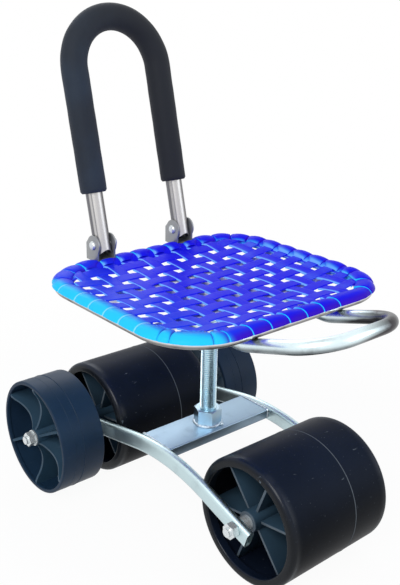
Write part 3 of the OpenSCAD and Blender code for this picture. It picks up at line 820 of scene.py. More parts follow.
def bead(bm: BMesh, points: Sequence[Sequence[float]], radius: float,
         seed: int) -> None:
    """A weld bead: overlapping puddles along a line.

    Args:
        bm: the mesh to add to.
        points: the line's points.
        radius: of the bead.
        seed: shifts the puddles' unevenness.
    """
    line = [Vector(p) for p in points]
    route: list[Vector] = []
    for a, b in zip(line, line[1:]):
        n = max(1, int((b - a).length / (radius * 0.45)))
        route += [a.lerp(b, k / n) for k in range(n)]
    route.append(line[-1])
    last, rings = len(route) - 1, []
    for k, p in enumerate(route):
        ahead = (route[min(k + 1, last)] - route[max(k - 1, 0)]).normalized()
        ripple = 1 + 0.16 * math.sin(k * 2.1 + seed) + 0.08 * math.sin(k * 0.7 + 2 * seed)
        tip = 0.35 if k in (0, last) else 1.0
        frame = Matrix.Translation(p) @ ahead.to_track_quat("Z", "Y").to_matrix().to_4x4()
        made = bmesh.ops.create_circle(bm, segments=8, radius=radius * ripple * tip, matrix=frame)
        rings.append(made["verts"])
    for a, b in zip(rings, rings[1:]):
        bmesh.ops.bridge_loops(bm, edges=edges_among(a) + edges_among(b))
    for ring in (rings[0], rings[-1]):
        bmesh.ops.contextual_create(bm, geom=edges_among(ring))


def round_line(radius: float, count: int, y: float, z: float) -> list[tuple[float, float, float]]:
    """Points of a level ring around x = 0, closed."""
    angles = [TAU * k / count for k in range(count + 1)]
    return [(radius * math.cos(a), y + radius * math.sin(a), z) for a in angles]


@dataclass
class WovenSeat:
    """The blue moulding with its strips, gaps, rim and wraps."""

    shop: Workshop
    # The seat's frame: its middle, on the floor
    place: Matrix
    # Outline and rim
    half_x: float = 194 * MM
    half_y: float = 171 * MM
    corner: float = 88 * MM
    crest: float = 357 * MM
    roll: float = 11 * MM
    crest_in: float = 13 * MM
    rim_w: float = 27 * MM
    rim_h: float = 8.6 * MM
    flank: float = 4.3 * MM
    foot_depth: float = 3 * MM
    # The dish and its strips; the edges that face along Y are thinner
    dish: float = 14 * MM
    dish_rise: float = 9.3 * MM
    dish_x: float = 164 * MM
    dish_y: float = 143 * MM
    cols: int = 10
    rows: int = 9
    pitch: float = 31 * MM
    strip: float = 19.2 * MM
    wave: float = 0.65 * MM
    edge: float = 3.4 * MM
    edge_drop: float = 1.3 * MM
    thin_edge: float = 1.4 * MM
    thin_drop: float = 0.5 * MM
    crown: float = 0.25 * MM
    body_t: float = 0.9 * MM
    frame_drop: float = 2.2 * MM
    # How the field ends under the rim: the grid, where it stops, where it dips, by how much
    grid_end: float = 5 * MM
    tuck_end: float = 4.5 * MM
    tuck_from: float = 1 * MM
    tuck: float = 3 * MM
    # The strips' turns over the rim
    wrap_t: float = 1.5 * MM
    wrap_edge: float = 2.6 * MM
    wrap_crown: float = 1.1 * MM
    far_crown: float = 2.0 * MM
    wrap_lean: float = 1.2 * MM
    wrap_skirt: float = 1 * MM
    groove: float = 0.6 * MM
    side_first: float = -77 * MM
    side_step: float = 32.6 * MM
    side_wraps: int = 5
    corner_wraps: tuple = ((3, 25, 48, 71), (11, 34, 61, 82), (20.5, 31, 66, 79), (22, 50, 75))
    # The brackets' notches at the back
    notch_x: float = 73.4 * MM
    notch_half: float = 16.5 * MM
    notch_in: float = 17.5 * MM

    def reach(self, side: int) -> float:
        """Distance from the middle to a side: 0 right, 1 back, 2 left, 3 front."""
        return self.half_x if side % 2 == 0 else self.half_y

    def straight(self, side: int) -> float:
        """Half the length of a side between its corners."""
        return self.reach(side + 1) - self.corner

    def sway(self, u: float, count: int, down: bool) -> float:
        """Height share of a strip at a place along it.

        Args:
            u: the place, from the strip's middle.
            count: crossings on the strip.
            down: whether its first crossing is under.

        Returns:
            From -1 to 1.
        """
        t = u / self.pitch + count / 2
        k = min(max(math.floor(t), 0), count - 1)
        part = (t - k - 0.5) * self.pitch
        sign = 1.0 if (k + down) % 2 == 0 else -1.0
        half = self.strip / 2
        if abs(part) <= half:
            return sign * (1 - 0.35 * (part / half) ** 2)
        gap = self.pitch - self.strip
        ahead = (abs(part) - half) / gap
        last = (k == 0 and part < 0) or (k == count - 1 and part > 0)
        other = 0.0 if last else -sign
        return 0.65 * (sign + (other - sign) * self.ease(ahead))

    @staticmethod
    def ease(part: float) -> float:
        """A smooth step from 0 to 1."""
        part = min(part, 1.0)
        return part * part * (3 - 2 * part)

    @staticmethod
    def drop(inside: float, edge: float, depth: float) -> float:
        """How far a rounded edge lies below the top.

        Args:
            inside: distance from the edge.
            edge: width of the rounding.
            depth: its depth at the edge.

        Returns:
            The depth at that distance.
        """
        if inside >= edge:
            return 0.0
        part = 1 - inside / edge
        return depth * (1 - math.sqrt(max(0.0, 1 - part * part)))

    def lines(self, count: int, reach: float) -> list[float]:
        """Grid lines across all the strips of one direction.

        Args:
            count: strips side by side.
            reach: how far the lines go from the middle.

        Returns:
            The places of the lines, in order.
        """
        half = self.strip / 2
        inner = [o * MM for o in (0.0, 0.06, 0.25, 0.6, 1.1, 1.8, 3.0, 4.8)]
        out: set[float] = set()
        for k in range(count):
            c = (k - (count - 1) / 2) * self.pitch
            out.add(round(c, 6))
            for o in inner:
                out.update((round(c - half + o, 6), round(c + half - o, 6)))
            for o in (0.3 * MM, 1.9 * MM):
                out.update((round(c - half - o, 6), round(c + half + o, 6)))
        end = count * self.pitch / 2 + (self.pitch - self.strip) / 2
        out = {o for o in out if abs(o) < end - 0.2 * MM} | {round(end, 6), round(-end, 6)}
        extra = end
        while extra < reach:
            extra += 2.5 * MM
            out.update((round(extra, 6), round(-extra, 6)))
        return sorted(out)

    def near(self, u: float, count: int) -> tuple[int, float]:
        """Number of the nearest strip and the distance from its middle line."""
        k = min(max(round(u / self.pitch + (count - 1) / 2), 0), count - 1)
        return k, abs(u - (k - (count - 1) / 2) * self.pitch)

    def base(self, x: float, y: float) -> float:
        """Height of the dished field's middle surface."""
        out = ((x / self.dish_x) ** 4 + (y / self.dish_y) ** 4) ** 0.75
        return self.crest - self.dish + self.dish_rise * out

    def field_height(self, x: float, y: float) -> float | None:
        """Height of the woven field.

        Args:
            x: place across.
            y: place front to back.

        Returns:
            The height, or none in a gap.
        """
        half = self.strip / 2 + 1e-7
        i, dx = self.near(x, self.cols)
        j, dy = self.near(y, self.rows)
        base = self.base(x, y)
        tops = []
        if dx <= half:
            tops.append(self.wave * self.sway(y, self.rows, i % 2 == 1)
                        - self.drop(half - dx, self.edge, self.edge_drop)
                        + self.crown * (1 - (dx / half) ** 2))
        if dy <= half:
            tops.append(self.wave * self.sway(x, self.cols, (j + 1) % 2 == 1)
                        - self.drop(half - dy, self.thin_edge, self.thin_drop)
                        + self.crown * (1 - (dy / half) ** 2))
        if tops:
            return base + max(tops)
        gap = (self.pitch - self.strip) / 2 - 1e-7
        past = [abs(u) > n * self.pitch / 2 + gap for u, n in ((x, self.cols), (y, self.rows))]
        return base - self.frame_drop if any(past) else None

    def inside_oblong(self, x: float, y: float, inset: float) -> bool:
        """Whether a place lies in the rim's rounded oblong.

        Args:
            x: place across.
            y: place front to back.
            inset: how far the oblong is moved in.

        Returns:
            Whether it does.
        """
        hx, hy, r = self.half_x - inset, self.half_y - inset, self.corner - inset
        qx, qy = max(abs(x) - hx + r, 0.0), max(abs(y) - hy + r, 0.0)
        return math.hypot(qx, qy) <= r

    def field(self, bm: BMesh) -> None:
        """The woven field with its square gaps.

        Args:
            bm: the mesh to add to.
        """
        xs = self.lines(self.cols, self.half_x - self.rim_w + self.grid_end)
        ys = self.lines(self.rows, self.half_y - self.rim_w + self.grid_end)
        grid, gone = lattice(bm, len(xs) - 1, len(ys) - 1), []
        for v, i, j in grid:
            x, y = xs[i], ys[j]
            z = self.field_height(x, y)
            if z is None:
                gone.append(v)
                z = 0.0
            elif not self.inside_oblong(x, y, self.rim_w - self.tuck_end):
                gone.append(v)
            elif not self.inside_oblong(x, y, self.rim_w + self.tuck_from):
                z -= self.tuck
            v.co = (x, y, z)
        dead = {f for v in gone for f in v.link_faces}
        bmesh.ops.delete(bm, geom=list(dead), context="FACES")
        alive = [v for v, _, _ in grid if v.is_valid and v.link_faces]
        faces = list({f for v in alive for f in v.link_faces})
        shell = bmesh.ops.extrude_face_region(bm, geom=faces)["geom"]
        low = [g for g in shell if isinstance(g, BMVert)]
        for v in low:
            v.co.z -= self.body_t
        bmesh.ops.transform(bm, matrix=self.place, verts=alive + low)

    def rim_outline(self) -> list[tuple[float, float, float, float, float]]:
        """Section over the wraps' tops, from the inner foot over the crest to the lower edge.

        Returns:
            For each point the inset from the outer edge, the height, the shares of the
            surface's direction outwards and upwards, and how far the plain rim lies below.
        """
        out = []
        foot = self.rim_w + 1.5 * MM
        for k in range(9):
            s = k / 8
            slope = 2 * self.flank * (1 - s) / (foot - self.crest_in)
            size = math.hypot(slope, 1.0)
            left = (1 - s) ** 2
            out.append((foot + (self.crest_in - foot) * s, self.crest - self.flank * left,
                        -slope / size, 1 / size, self.foot_depth * left + self.wrap_t * (1 - left)))
        for k in range(1, 12):
            a = math.radians(90 - 7 * k)
            way = Vector((math.cos(a) / self.crest_in, math.sin(a) / self.roll)).normalized()
            out.append((self.crest_in * (1 - math.cos(a)),
                        self.crest - self.roll * (1 - math.sin(a)), way.x, way.y, self.wrap_t))
        inset, z = out[-1][:2]
        out.append((inset + 3.5 * MM, z - 0.8 * MM, 0.0, -0.4, 0.0))
        return out

    def rim_place(self, side: int, along: float, inset: float) -> Vector:
        """A place on a straight side of the rim, in the seat's plane.

        Args:
            side: the side's number.
            along: distance from the side's middle.
            inset: distance from the outer edge.

        Returns:
            The place.
        """
        out = self.reach(side) - inset
        return (Vector((out, along, 0)), Vector((-along, out, 0)),
                Vector((-out, -along, 0)), Vector((along, -out, 0)))[side]

    def corner_place(self, corner: int, angle: float, inset: float) -> Vector:
        """A place on a corner of the rim, in the seat's plane.

        Args:
            corner: number of the side before it.
            angle: in degrees from that side.
            inset: distance from the outer edge.

        Returns:
            The place.
        """
        a = math.radians(90 * corner + angle)
        cx = (self.half_x - self.corner) * (1 if corner in (0, 3) else -1)
        cy = (self.half_y - self.corner) * (1 if corner in (0, 1) else -1)
        r = self.corner - inset
        return Vector((cx + r * math.cos(a), cy + r * math.sin(a), 0))

    def track(self, run: float, inset: float) -> Vector:
        """A place on the rim by the length run along its crest.

        Args:
            run: the length, from the right side's front.
            inset: distance from the outer edge.

        Returns:
            The place, in the seat's plane.
        """
        bend, side = self.corner - self.crest_in, 0
        while True:
            straight = 2 * self.straight(side)
            if run <= straight:
                return self.rim_place(side, run - straight / 2, inset)
            run -= straight
            if run <= bend * math.pi / 2 or side == 3:
                return self.corner_place(side, math.degrees(run / bend), inset)
            run -= bend * math.pi / 2
            side += 1

    def run_of(self, side: int, along: float) -> float:
        """The run of a place on a straight side.

        Args:
            side: the side's number.
            along: distance from the side's middle.

        Returns:
            The length run.
        """
        bend = (self.corner - self.crest_in) * math.pi / 2
        before = sum(2 * self.straight(k) + bend for k in range(side))
        return before + self.straight(side) + along

    def run_round(self, corner: int, angle: float) -> float:
        """The run of a place on a corner, angle in degrees from the side before it."""
        bend = math.radians(angle) * (self.corner - self.crest_in)
        return self.run_of(corner, self.straight(corner)) + bend

    def patch(self, bm: BMesh, ends: Span, cut: Span, narrow: Span, lean: float,
              crown: float, inner: bool) -> None:
        """One wrap over the rim, with rounded side edges.

        Args:
            bm: the mesh to add to.
            ends: where the whole wrap starts and ends, as runs along the rim.
            cut: the part of it that is made.
            narrow: how much narrower it is at its foot, at the start and at the end.
            lean: how far its surface falls towards the end, or if negative to the start.
            crown: how far its middle stands over its edges.
            inner: whether it stops at the inner side, where a bracket stands.
        """
        section = self.rim_outline()
        if inner:
            section = [p for p in section if p[0] >= self.notch_in]
            section.append((self.notch_in, section[-1][1] - 5 * MM, 0.0, 0.0, 0.0))
        last = len(section) - 1
        scale = min(1.0, (cut[1] - cut[0]) / (9 * MM))
        steps = [o * MM * scale for o in (0.0, 0.05, 0.25, 0.6, 1.1, 1.8, 3.0)]
        count = 2 * len(steps) + 3
        grid = lattice(bm, count - 1, last)
        for v, i, j in grid:
            inset, z, out_n, up, deep = section[j]
            grow = 1 - self.ease(j / 7)
            low, high = ends[0] + narrow[0] * grow, ends[1] - narrow[1] * grow
            first, final = max(low, cut[0]), min(high, cut[1])
            if final < first:
                first = final = cut[0]
            if i < len(steps):
                run = first + steps[i]
            elif i >= count - len(steps):
                run = final - steps[count - 1 - i]
            else:
                run = first + steps[-1] + (final - first - 2 * steps[-1]) * (i - len(steps) + 1) / 4
            part = min(max((run - low) / (high - low), 0.0), 1.0)
            inside = max(min(run - low, high - run), 0.0)
            rise = crown * (1 - (2 * part - 1) ** 2)
            rise -= self.drop(inside, self.wrap_edge, self.wrap_t)
            rise -= lean * part if lean > 0 else -lean * (1 - part)
            if i in (0, count - 1):
                rise = -deep - 0.5 * MM
            if j == 0:
                rise -= 1.6 * MM
            spot = self.track(run, inset - out_n * rise)
            v.co = (spot.x, spot.y, z + up * rise)
        bmesh.ops.transform(bm, matrix=self.place, verts=[v for v, _, _ in grid])

    def rim_frame(self, side: int, along: float) -> Matrix:
        """Frame on a side of the rim: local X inwards, Y up, Z along the side.

        Args:
            side: the side's number.
            along: distance from the side's middle.

        Returns:
            The frame.
        """
        on_side = Matrix(((-1, 0, 0, self.reach(side)), (0, 0, 1, along), (0, 1, 0, 0),
                          (0, 0, 0, 1)))
        return self.place @ turn(90 * side, "Z") @ on_side

    def rim(self, bm: BMesh) -> None:
        """The plain rim under the wraps, closed below and notched for the brackets.

        Args:
            bm: the mesh to add to.
        """
        line = [(i + out * deep, z - up * deep) for i, z, out, up, deep in self.rim_outline()]
        low = self.crest - self.rim_h
        under = [(self.rim_w, low - 4.5 * MM), (self.rim_w + 2 * MM, low - 3.5 * MM)]
        section = line + [(self.rim_w / 2, low)] + under
        end, far = self.half_x - self.corner, self.notch_x + self.notch_half
        near = self.notch_x - self.notch_half
        tube = Tube(bm, self.rim_frame(1, far), section).run(end - far)
        for side in (2, 3, 4):
            tube.bend(self.corner, 90, 0, 30)
            tube.run(2 * self.straight(side))
        tube.bend(self.corner, 90, 0, 30).run(end - far).close()
        Tube(bm, self.rim_frame(1, -near), section).run(2 * near).close()
        inner = [p for p in line if p[0] > self.notch_in]
        short = inner + [(self.notch_in, inner[-1][1] + 0.3 * MM), (self.notch_in, low)] + under
        for along in (-far, near):
            start = self.rim_frame(1, along - 0.2 * MM)
            Tube(bm, start, short).run(far - near + 0.4 * MM).close()

    def starts(self) -> list[tuple[float, int]]:
        """Where the wraps start.

        Returns:
            For each wrap its run, and the side whose strips it carries on, or 4 for none.
        """
        half = self.strip / 2
        ends = [(k - (self.cols - 1) / 2) * self.pitch - half for k in range(self.cols)]
        out = [(self.run_of(3, x), 3) for x in ends if abs(x + 6 * MM) < 100 * MM]
        out += [(self.run_of(1, -x), 1) for x in ends if abs(x - 6 * MM) < 100 * MM]
        for k in range(self.side_wraps):
            y = self.side_first + self.side_step * k
            out += [(self.run_of(0, y), 0), (self.run_of(2, -y), 2)]
        for corner, angles in enumerate(self.corner_wraps):
            out += [(self.run_round(corner, a), 4) for a in angles]
        return sorted(out)

    def wraps(self, bm: BMesh) -> None:
        """The strips' turns around the rim.

        Args:
            bm: the mesh to add to.
        """
        starts = self.starts()
        ends_at = [run for run, _ in starts[1:]] + [self.run_round(3, 90)]
        skirts = (self.wrap_skirt, self.wrap_skirt)
        for (low, side), high in zip(starts, ends_at):
            middle = (low + high) / 2
            at_front = self.run_round(2, 60) < middle < self.run_round(3, 45)
            at_back = self.run_round(0, 60) < middle < self.run_round(1, 30)
            lean = self.wrap_lean if at_front else -self.wrap_lean if at_back else 0.0
            far = middle < self.run_round(1, 20)
            crown = self.far_crown if far else self.wrap_crown
            gap = self.pitch - self.strip - self.groove
            narrow = ((0.0, gap), (gap, 0.0), (gap, 0.0), (0.0, gap), skirts)[side]
            if high - low < 26 * MM:
                narrow = skirts
            ends = (low + self.groove / 2, high - self.groove / 2)
            for a, b, inner in self.free(*ends):
                self.patch(bm, ends, (a, b), narrow, lean, crown, inner)

    def free(self, low: float, high: float) -> list[tuple[float, float, bool]]:
        """Splits a wrap at the brackets' notches.

        Args:
            low: run of its start.
            high: run of its end.

        Returns:
            The parts, each with whether it stands in a notch.
        """
        cuts = [self.run_of(1, side * self.notch_x + way * self.notch_half)
                for side in (-1, 1) for way in (-1, 1)]
        edges = [low] + [c for c in cuts if low + 3 * MM < c < high - 3 * MM] + [high]
        out = []
        for a, b in zip(edges, edges[1:]):
            middle = (a + b) / 2
            out.append((a, b, any(cuts[k] - 2 * MM < middle < cuts[k + 1] + 2 * MM
                                  for k in (0, 2))))
        return out

    def make(self) -> None:
        """Builds the seat's moulding."""
        bm = bmesh.new()
        self.field(bm)
        self.rim(bm)
        self.wraps(bm)
        self.shop.piece("woven_seat", bm, "seat", Look.BLUE, "seat_plastic", ("seat_cover",), 50.0)


def thin_ring(bm: BMesh, at: float, half: float, radii: Span, place: Matrix) -> None:
    """A moulding line round a tread.

    Args:
        bm: the mesh to add to.
        at: its place along the axle.
        half: half its width.
        radii: of its ridge and of its foot.
        place: the roller's frame.
    """
    ridge, foot = radii
    lathe(bm, [(ridge, at), (foot, at + half), (foot, at - half)], 128, place)


@dataclass
class Roller:
    """A wide roller: shell with rounded shoulders, lips, web, ribs and hub."""

    shop: Workshop
    radius: float = 88 * MM
    width: float = 180 * MM
    shoulder: float = 12 * MM
    wall: float = 5 * MM
    lip: float = 74 * MM
    lip_d: float = 14 * MM
    hub: float = 15 * MM
    hub_in: float = 6 * MM
    bore: float = 9.05 * MM
    web: float = 4 * MM
    rib_in: float = 16 * MM
    ribs: int = 6
    first: float = 20.0
    seam: float = 24.5 * MM

    def outline(self) -> list[Point]:
        """Section of the shell.

        Returns:
            The radius and the place along the axle of each corner.
        """
        h, r = self.width / 2, self.radius
        inner, lip, d = r - self.wall, self.lip, self.lip_d
        return rounded([
            (r, h, self.shoulder), (r, -h, self.shoulder), (lip, -h, 3 * MM),
            (lip, -h + d, 2 * MM), (inner, -h + d, 1 * MM), (inner, h - d, 1 * MM),
            (lip, h - d, 2 * MM), (lip, h, 3 * MM)], 8)

    def make(self, name: str, body: str, node: str) -> None:
        """Builds one roller.

        Args:
            name: of its outer piece.
            body: the CAD body that it turns with.
            node: the CAD node that it stands for.
        """
        bm = bmesh.new()
        place = Matrix.Translation(middle(node)) @ turn(90, "Y")
        lathe(bm, self.outline(), 128, place)
        thin_ring(bm, self.seam, 0.7 * MM, (self.radius + 0.3 * MM, self.radius - 0.3 * MM), place)
        self.shop.piece(name, bm, body, Look.ROLLER, "roller_plastic", (node,), 30.0)
        bm = bmesh.new()
        r_in, h, web = self.radius - self.wall, self.width / 2, self.web / 2
        hub_h, rib_h = h - self.hub_in, h - self.rib_in
        lathe(bm, rounded([(self.hub, hub_h, 1.2 * MM), (self.hub, -hub_h, 1.2 * MM),
                           (self.bore, -hub_h, 0.6 * MM), (self.bore, hub_h, 0.6 * MM)], 3),
              48, place)
        lathe(bm, [(r_in + MM, web), (r_in + MM, -web), (self.hub - MM, -web),
                   (self.hub - MM, web)], 64, place)
        for k in range(self.ribs):
            spin = place @ turn(self.first + 360 / self.ribs * k, "Z")
            block(bm, (self.hub - 2 * MM, -web, -rib_h), (r_in + 2 * MM, web, rib_h), spin,
                  0.8 * MM)
        self.shop.piece(f"{name}_core", bm, body, Look.CORE, "roller_plastic", (), 30.0)


@dataclass
class Wheel:
    """An open wheel with six scooped ribs."""

    shop: Workshop
    radius: float = 88 * MM
    width: float = 70 * MM
    wall: float = 5 * MM
    tread_in: float = 0.6 * MM
    lip: float = 1.2 * MM
    hub: float = 12.5 * MM
    hub_in: float = 1 * MM
    bore: float = 9.05 * MM
    rib_t: float = 4 * MM
    rib_in: float = 1.5 * MM
    waist: float = 40 * MM
    ribs: int = 6
    first: float = 2.0

    def make(self, name: str, body: str, node: str) -> None:
        """Builds one wheel.

        Args:
            name: of its outer piece.
            body: the CAD body that it turns with.
            node: the CAD node that it stands for.
        """
        bm = bmesh.new()
        place = Matrix.Translation(middle(node)) @ turn(90, "Y")
        r, h = self.radius - self.tread_in, self.width / 2
        inner = self.radius - self.wall
        mouth = inner - self.lip
        lathe(bm, rounded([(r, h, 1.8 * MM), (r, -h, 1.8 * MM), (mouth, -h, 1.2 * MM),
                           (mouth, -h + 5 * MM, 1.0 * MM), (inner, -h + 7 * MM, 0.8 * MM),
                           (inner, h - 7 * MM, 0.8 * MM), (mouth, h - 5 * MM, 1.0 * MM),
                           (mouth, h, 1.2 * MM)], 4), 128, place)
        thin_ring(bm, 0.0, 0.9 * MM, (self.radius, r - 0.2 * MM), place)
        thin_ring(bm, -h * 0.42, 0.5 * MM, (r + 0.2 * MM, r - 0.2 * MM), place)
        self.shop.piece(name, bm, body, Look.WHEEL, "wheel_plastic", (node,), 30.0)
        bm = bmesh.new()
        hub_h = h - self.hub_in
        lathe(bm, rounded([(self.hub, hub_h, 1.0 * MM), (self.hub, -hub_h, 1.0 * MM),
                           (self.bore, -hub_h, 0.5 * MM), (self.bore, hub_h, 0.5 * MM)], 3),
              48, place)
        for k in range(self.ribs):
            spin = place @ turn(self.first + 360 / self.ribs * k, "Z")
            self.rib(bm, spin, hub_h - self.rib_in, inner, h - self.rib_in)
        self.shop.piece(f"{name}_core", bm, body, Look.SPOKES, "wheel_plastic", (), 30.0)

    def rib(self, bm: BMesh, place: Matrix, hub_h: float, inner: float,
            rim_h: float) -> None:
        """One rib, narrow at its waist, with smooth scooped sides.

        Args:
            bm: the mesh to add to.
            place: the rib's frame, local X outwards.
            hub_h: half its width at the hub.
            inner: radius of the rim's inside.
            rim_h: half its width at the rim.
        """
        edge: list[Point] = []
        low, high = self.hub - self.rib_in, inner + self.rib_in
        for k in range(13):
            s = k / 12
            pull = math.sin(math.pi * min(1.0, s * 1.15)) ** 0.8 if s < 0.87 else 0.0
            level = hub_h + (rim_h - hub_h) * s
            edge.append((low + (high - low) * s,
                         level - (level - self.waist / 2) * pull * 0.95))
        loop = edge + [(r, -w) for r, w in reversed(edge)]
        made = slab(bm, [(r, -self.rib_t / 2, w) for r, w in loop], (0, self.rib_t, 0))
        bmesh.ops.transform(bm, matrix=place, verts=made)


@dataclass
class Chassis:
    """Arms, crossbar and the welds between them."""

    shop: Workshop
    mid_y: float
    axle_y: float = 178 * MM
    axle_z: float = 88 * MM
    arm_h: float = 25 * MM
    arm_w: float = 12 * MM
    arm_t: float = 2 * MM
    arm_x: float = 102 * MM
    front_slope: float = 17.0
    rear_slope: float = 11.0
    bend_r: float = 320 * MM
    tail: float = 23 * MM
    cross_w: float = 60 * MM
    cross_h: float = 15 * MM
    cross_edge: float = 1.8 * MM
    cross_top: float = 128.459 * MM

    def arm(self, side: int, name: str, node: str) -> None:
        """One bent arm with open ends.

        Args:
            side: -1 on the left, 1 on the right.
            name: of the piece.
            node: the CAD node that it stands for.
        """
        fs, rs = math.radians(self.front_slope), math.radians(self.rear_slope)
        ridge_y = self.axle_y * (math.tan(rs) - math.tan(fs)) / (math.tan(fs) + math.tan(rs))
        leg = self.bend_r * math.tan((fs + rs) / 2)
        front = (ridge_y + self.axle_y) / math.cos(fs) - leg + self.tail
        rear = (self.axle_y - ridge_y) / math.cos(rs) - leg + self.tail
        start = Vector((side * self.arm_x,
                        self.mid_y - self.axle_y - self.tail * math.cos(fs),
                        self.axle_z - self.tail * math.sin(fs)))
        # Local Z runs up the front slope, local X is the tall side of the section, upwards
        ahead = Vector((0, math.cos(fs), math.sin(fs)))
        up = Vector((0, -math.sin(fs), math.cos(fs)))
        turned = Matrix((up, ahead.cross(up), ahead)).transposed().to_4x4()
        bm = bmesh.new()
        section = oblong(self.arm_h, self.arm_w, self.arm_w / 2, 8)
        tube = Tube(bm, Matrix.Translation(start) @ turned, section).run(front, 6)
        tube.bend(self.bend_r, self.front_slope + self.rear_slope, 180, 28).run(rear, 6)
        made = self.shop.piece(name, bm, "base", Look.ZINC, "zinc", (node,), 40.0)
        hollow(made, self.arm_t)

    def crossbar(self) -> None:
        """The oblong bar with rounded long edges."""
        bm = bmesh.new()
        inner = self.arm_x - self.arm_w / 2
        start = shift(-inner, self.mid_y, self.cross_top - self.cross_h / 2) @ turn(90, "Y")
        section = oblong(self.cross_h, self.cross_w, self.cross_edge)
        Tube(bm, start, section).run(2 * inner, 8).close()
        self.shop.piece("crossbar_tube", bm, "base", Look.CROSS, "crossbar_paint",
                        ("crossbar",), 40.0)

    def welds(self) -> None:
        """Beads between the crossbar and the arms."""
        bm = bmesh.new()
        inner = self.arm_x - self.arm_w / 2
        top, low = self.cross_top, self.cross_top - self.cross_h + 2 * MM
        y0, y1 = self.mid_y - self.cross_w / 2, self.mid_y + self.cross_w / 2
        # Up the front edge, across the top and down the back edge
        route = [(y0, low), (y0 - 0.2 * MM, top - MM), (y0 + 2 * MM, top), (y1 - 2 * MM, top),
                 (y1 + 0.2 * MM, top - MM), (y1, low)]
        for side in (-1, 1):
            x = side * (inner - 0.6 * MM)
            bead(bm, [(x, y, z) for y, z in route], 1.7 * MM, side + 2)
        self.shop.piece("arm_welds", bm, "base", Look.WELD, "zinc", (), 60.0)

    def make(self) -> None:
        """Builds all of the chassis."""
        self.arm(-1, "tube_left", "arm_left")
        self.arm(1, "tube_right", "arm_right")
        self.crossbar()
        self.welds()


@dataclass
class HexNut:
    """A chamfered hexagon nut."""

    flats: float
    height: float
    bore: float
    # Radius of the end faces, as a share of half the width across flats, and the chamfer
    share: float = 0.95
    chamfer: float = 28.0

    def add(self, bm: BMesh, place: Matrix) -> None:
        """Adds a nut, with the curved edges that a conical chamfer leaves.

        Args:
            bm: the mesh to add to.
            place: the nut's frame; it stands on local z = 0.
        """
        count, round_r = 48, self.flats / 2 * self.share
        angles = [TAU * k / count for k in range(count)]
        side = [self.flats / 2 / math.cos(a % (math.pi / 3) - math.pi / 6) for a in angles]
        fall = [(r - round_r) * math.tan(math.radians(self.chamfer)) for r in side]
        rings = [[(self.bore, 0.0)] * count, [(round_r, 0.0)] * count, list(zip(side, fall)),
                 [(r, self.height - f) for r, f in zip(side, fall)],
                 [(round_r, self.height)] * count, [(self.bore, self.height)] * count]
        made = [[bm.verts.new(place @ Vector((r * math.cos(a), r * math.sin(a), z)))
                 for a, (r, z) in zip(angles, ring)] for ring in rings]
        for a, b in zip(made, made[1:] + made[:1]):
            for k in range(count):
                bm.faces.new((a[k], a[(k + 1) % count], b[(k + 1) % count], b[k]))


@dataclass
class Lift:
    """The threaded screw and its welded nut."""

    shop: Workshop
    mid_y: float
    low: float
    high: float
    nut_z: float
    crest: float = 11.95 * MM
    root: float = 10.3 * MM
    pitch: float = 3 * MM
    nut_af: float = 36 * MM
    nut_h: float = 24 * MM
    nut_bore: float = 12 * MM
    weld_r: float = 19.6 * MM

    def screw(self) -> None:
        """The screw with its thread."""
        bm = bmesh.new()
        steps, p = 32, self.pitch
        shape = [(self.root, 0.0), (self.root, p * 0.14), (self.crest, p * 0.44),
                 (self.crest, p * 0.56), (self.root, p * 0.86), (self.root, p)]
        verts = [bm.verts.new((r, self.mid_y, self.low + 2 * MM + z)) for r, z in shape]
        edges = [bm.edges.new(pair) for pair in zip(verts, verts[1:])]
        turns = int((self.high - self.low - 4 * MM - p) / p)
        bmesh.ops.spin(bm, geom=verts + edges, cent=(0, self.mid_y, 0), axis=(0, 0, 1),
                       angle=TAU * turns, steps=steps * turns, dvec=(0, 0, p / steps),
                       use_merge=False)
        bmesh.ops.remove_doubles(bm, verts=bm.verts, dist=2e-5)
        core, heart = self.root + 0.05 * MM, 0.5 * MM
        lathe(bm, [(core, self.low + MM), (self.root - MM, self.low), (heart, self.low),
                   (heart, self.high), (self.root - 0.5 * MM, self.high),
                   (core, self.high - MM)], 32, shift(0, self.mid_y, 0))
        self.shop.piece("threaded_screw", bm, "screw", Look.THREAD, "zinc", ("lift_screw",), 28.0,
                        fix=False)

    def nut(self) -> None:
        """The tall nut with its weld ring."""
        bm = bmesh.new()
        place = shift(0, self.mid_y, self.nut_z) @ turn(8, "Z")
        HexNut(self.nut_af, self.nut_h, self.nut_bore).add(bm, place)
        self.shop.piece("welded_nut", bm, "base", Look.NUT, "zinc", ("lift_nut",), 25.0)
        bm = bmesh.new()
        bead(bm, round_line(self.weld_r, 40, self.mid_y, self.nut_z + 0.4 * MM), 2.3 * MM, 5)
        # A drop of weld metal before the nut
        drop = bmesh.ops.create_uvsphere(bm, u_segments=14, v_segments=10, radius=2.6 * MM)
        bmesh.ops.transform(bm, matrix=shift(9 * MM, self.mid_y - 21.5 * MM, self.nut_z + 1.2 * MM),
                            verts=drop["verts"])
        self.shop.piece("nut_weld", bm, "base", Look.WELD, "zinc", (), 60.0)


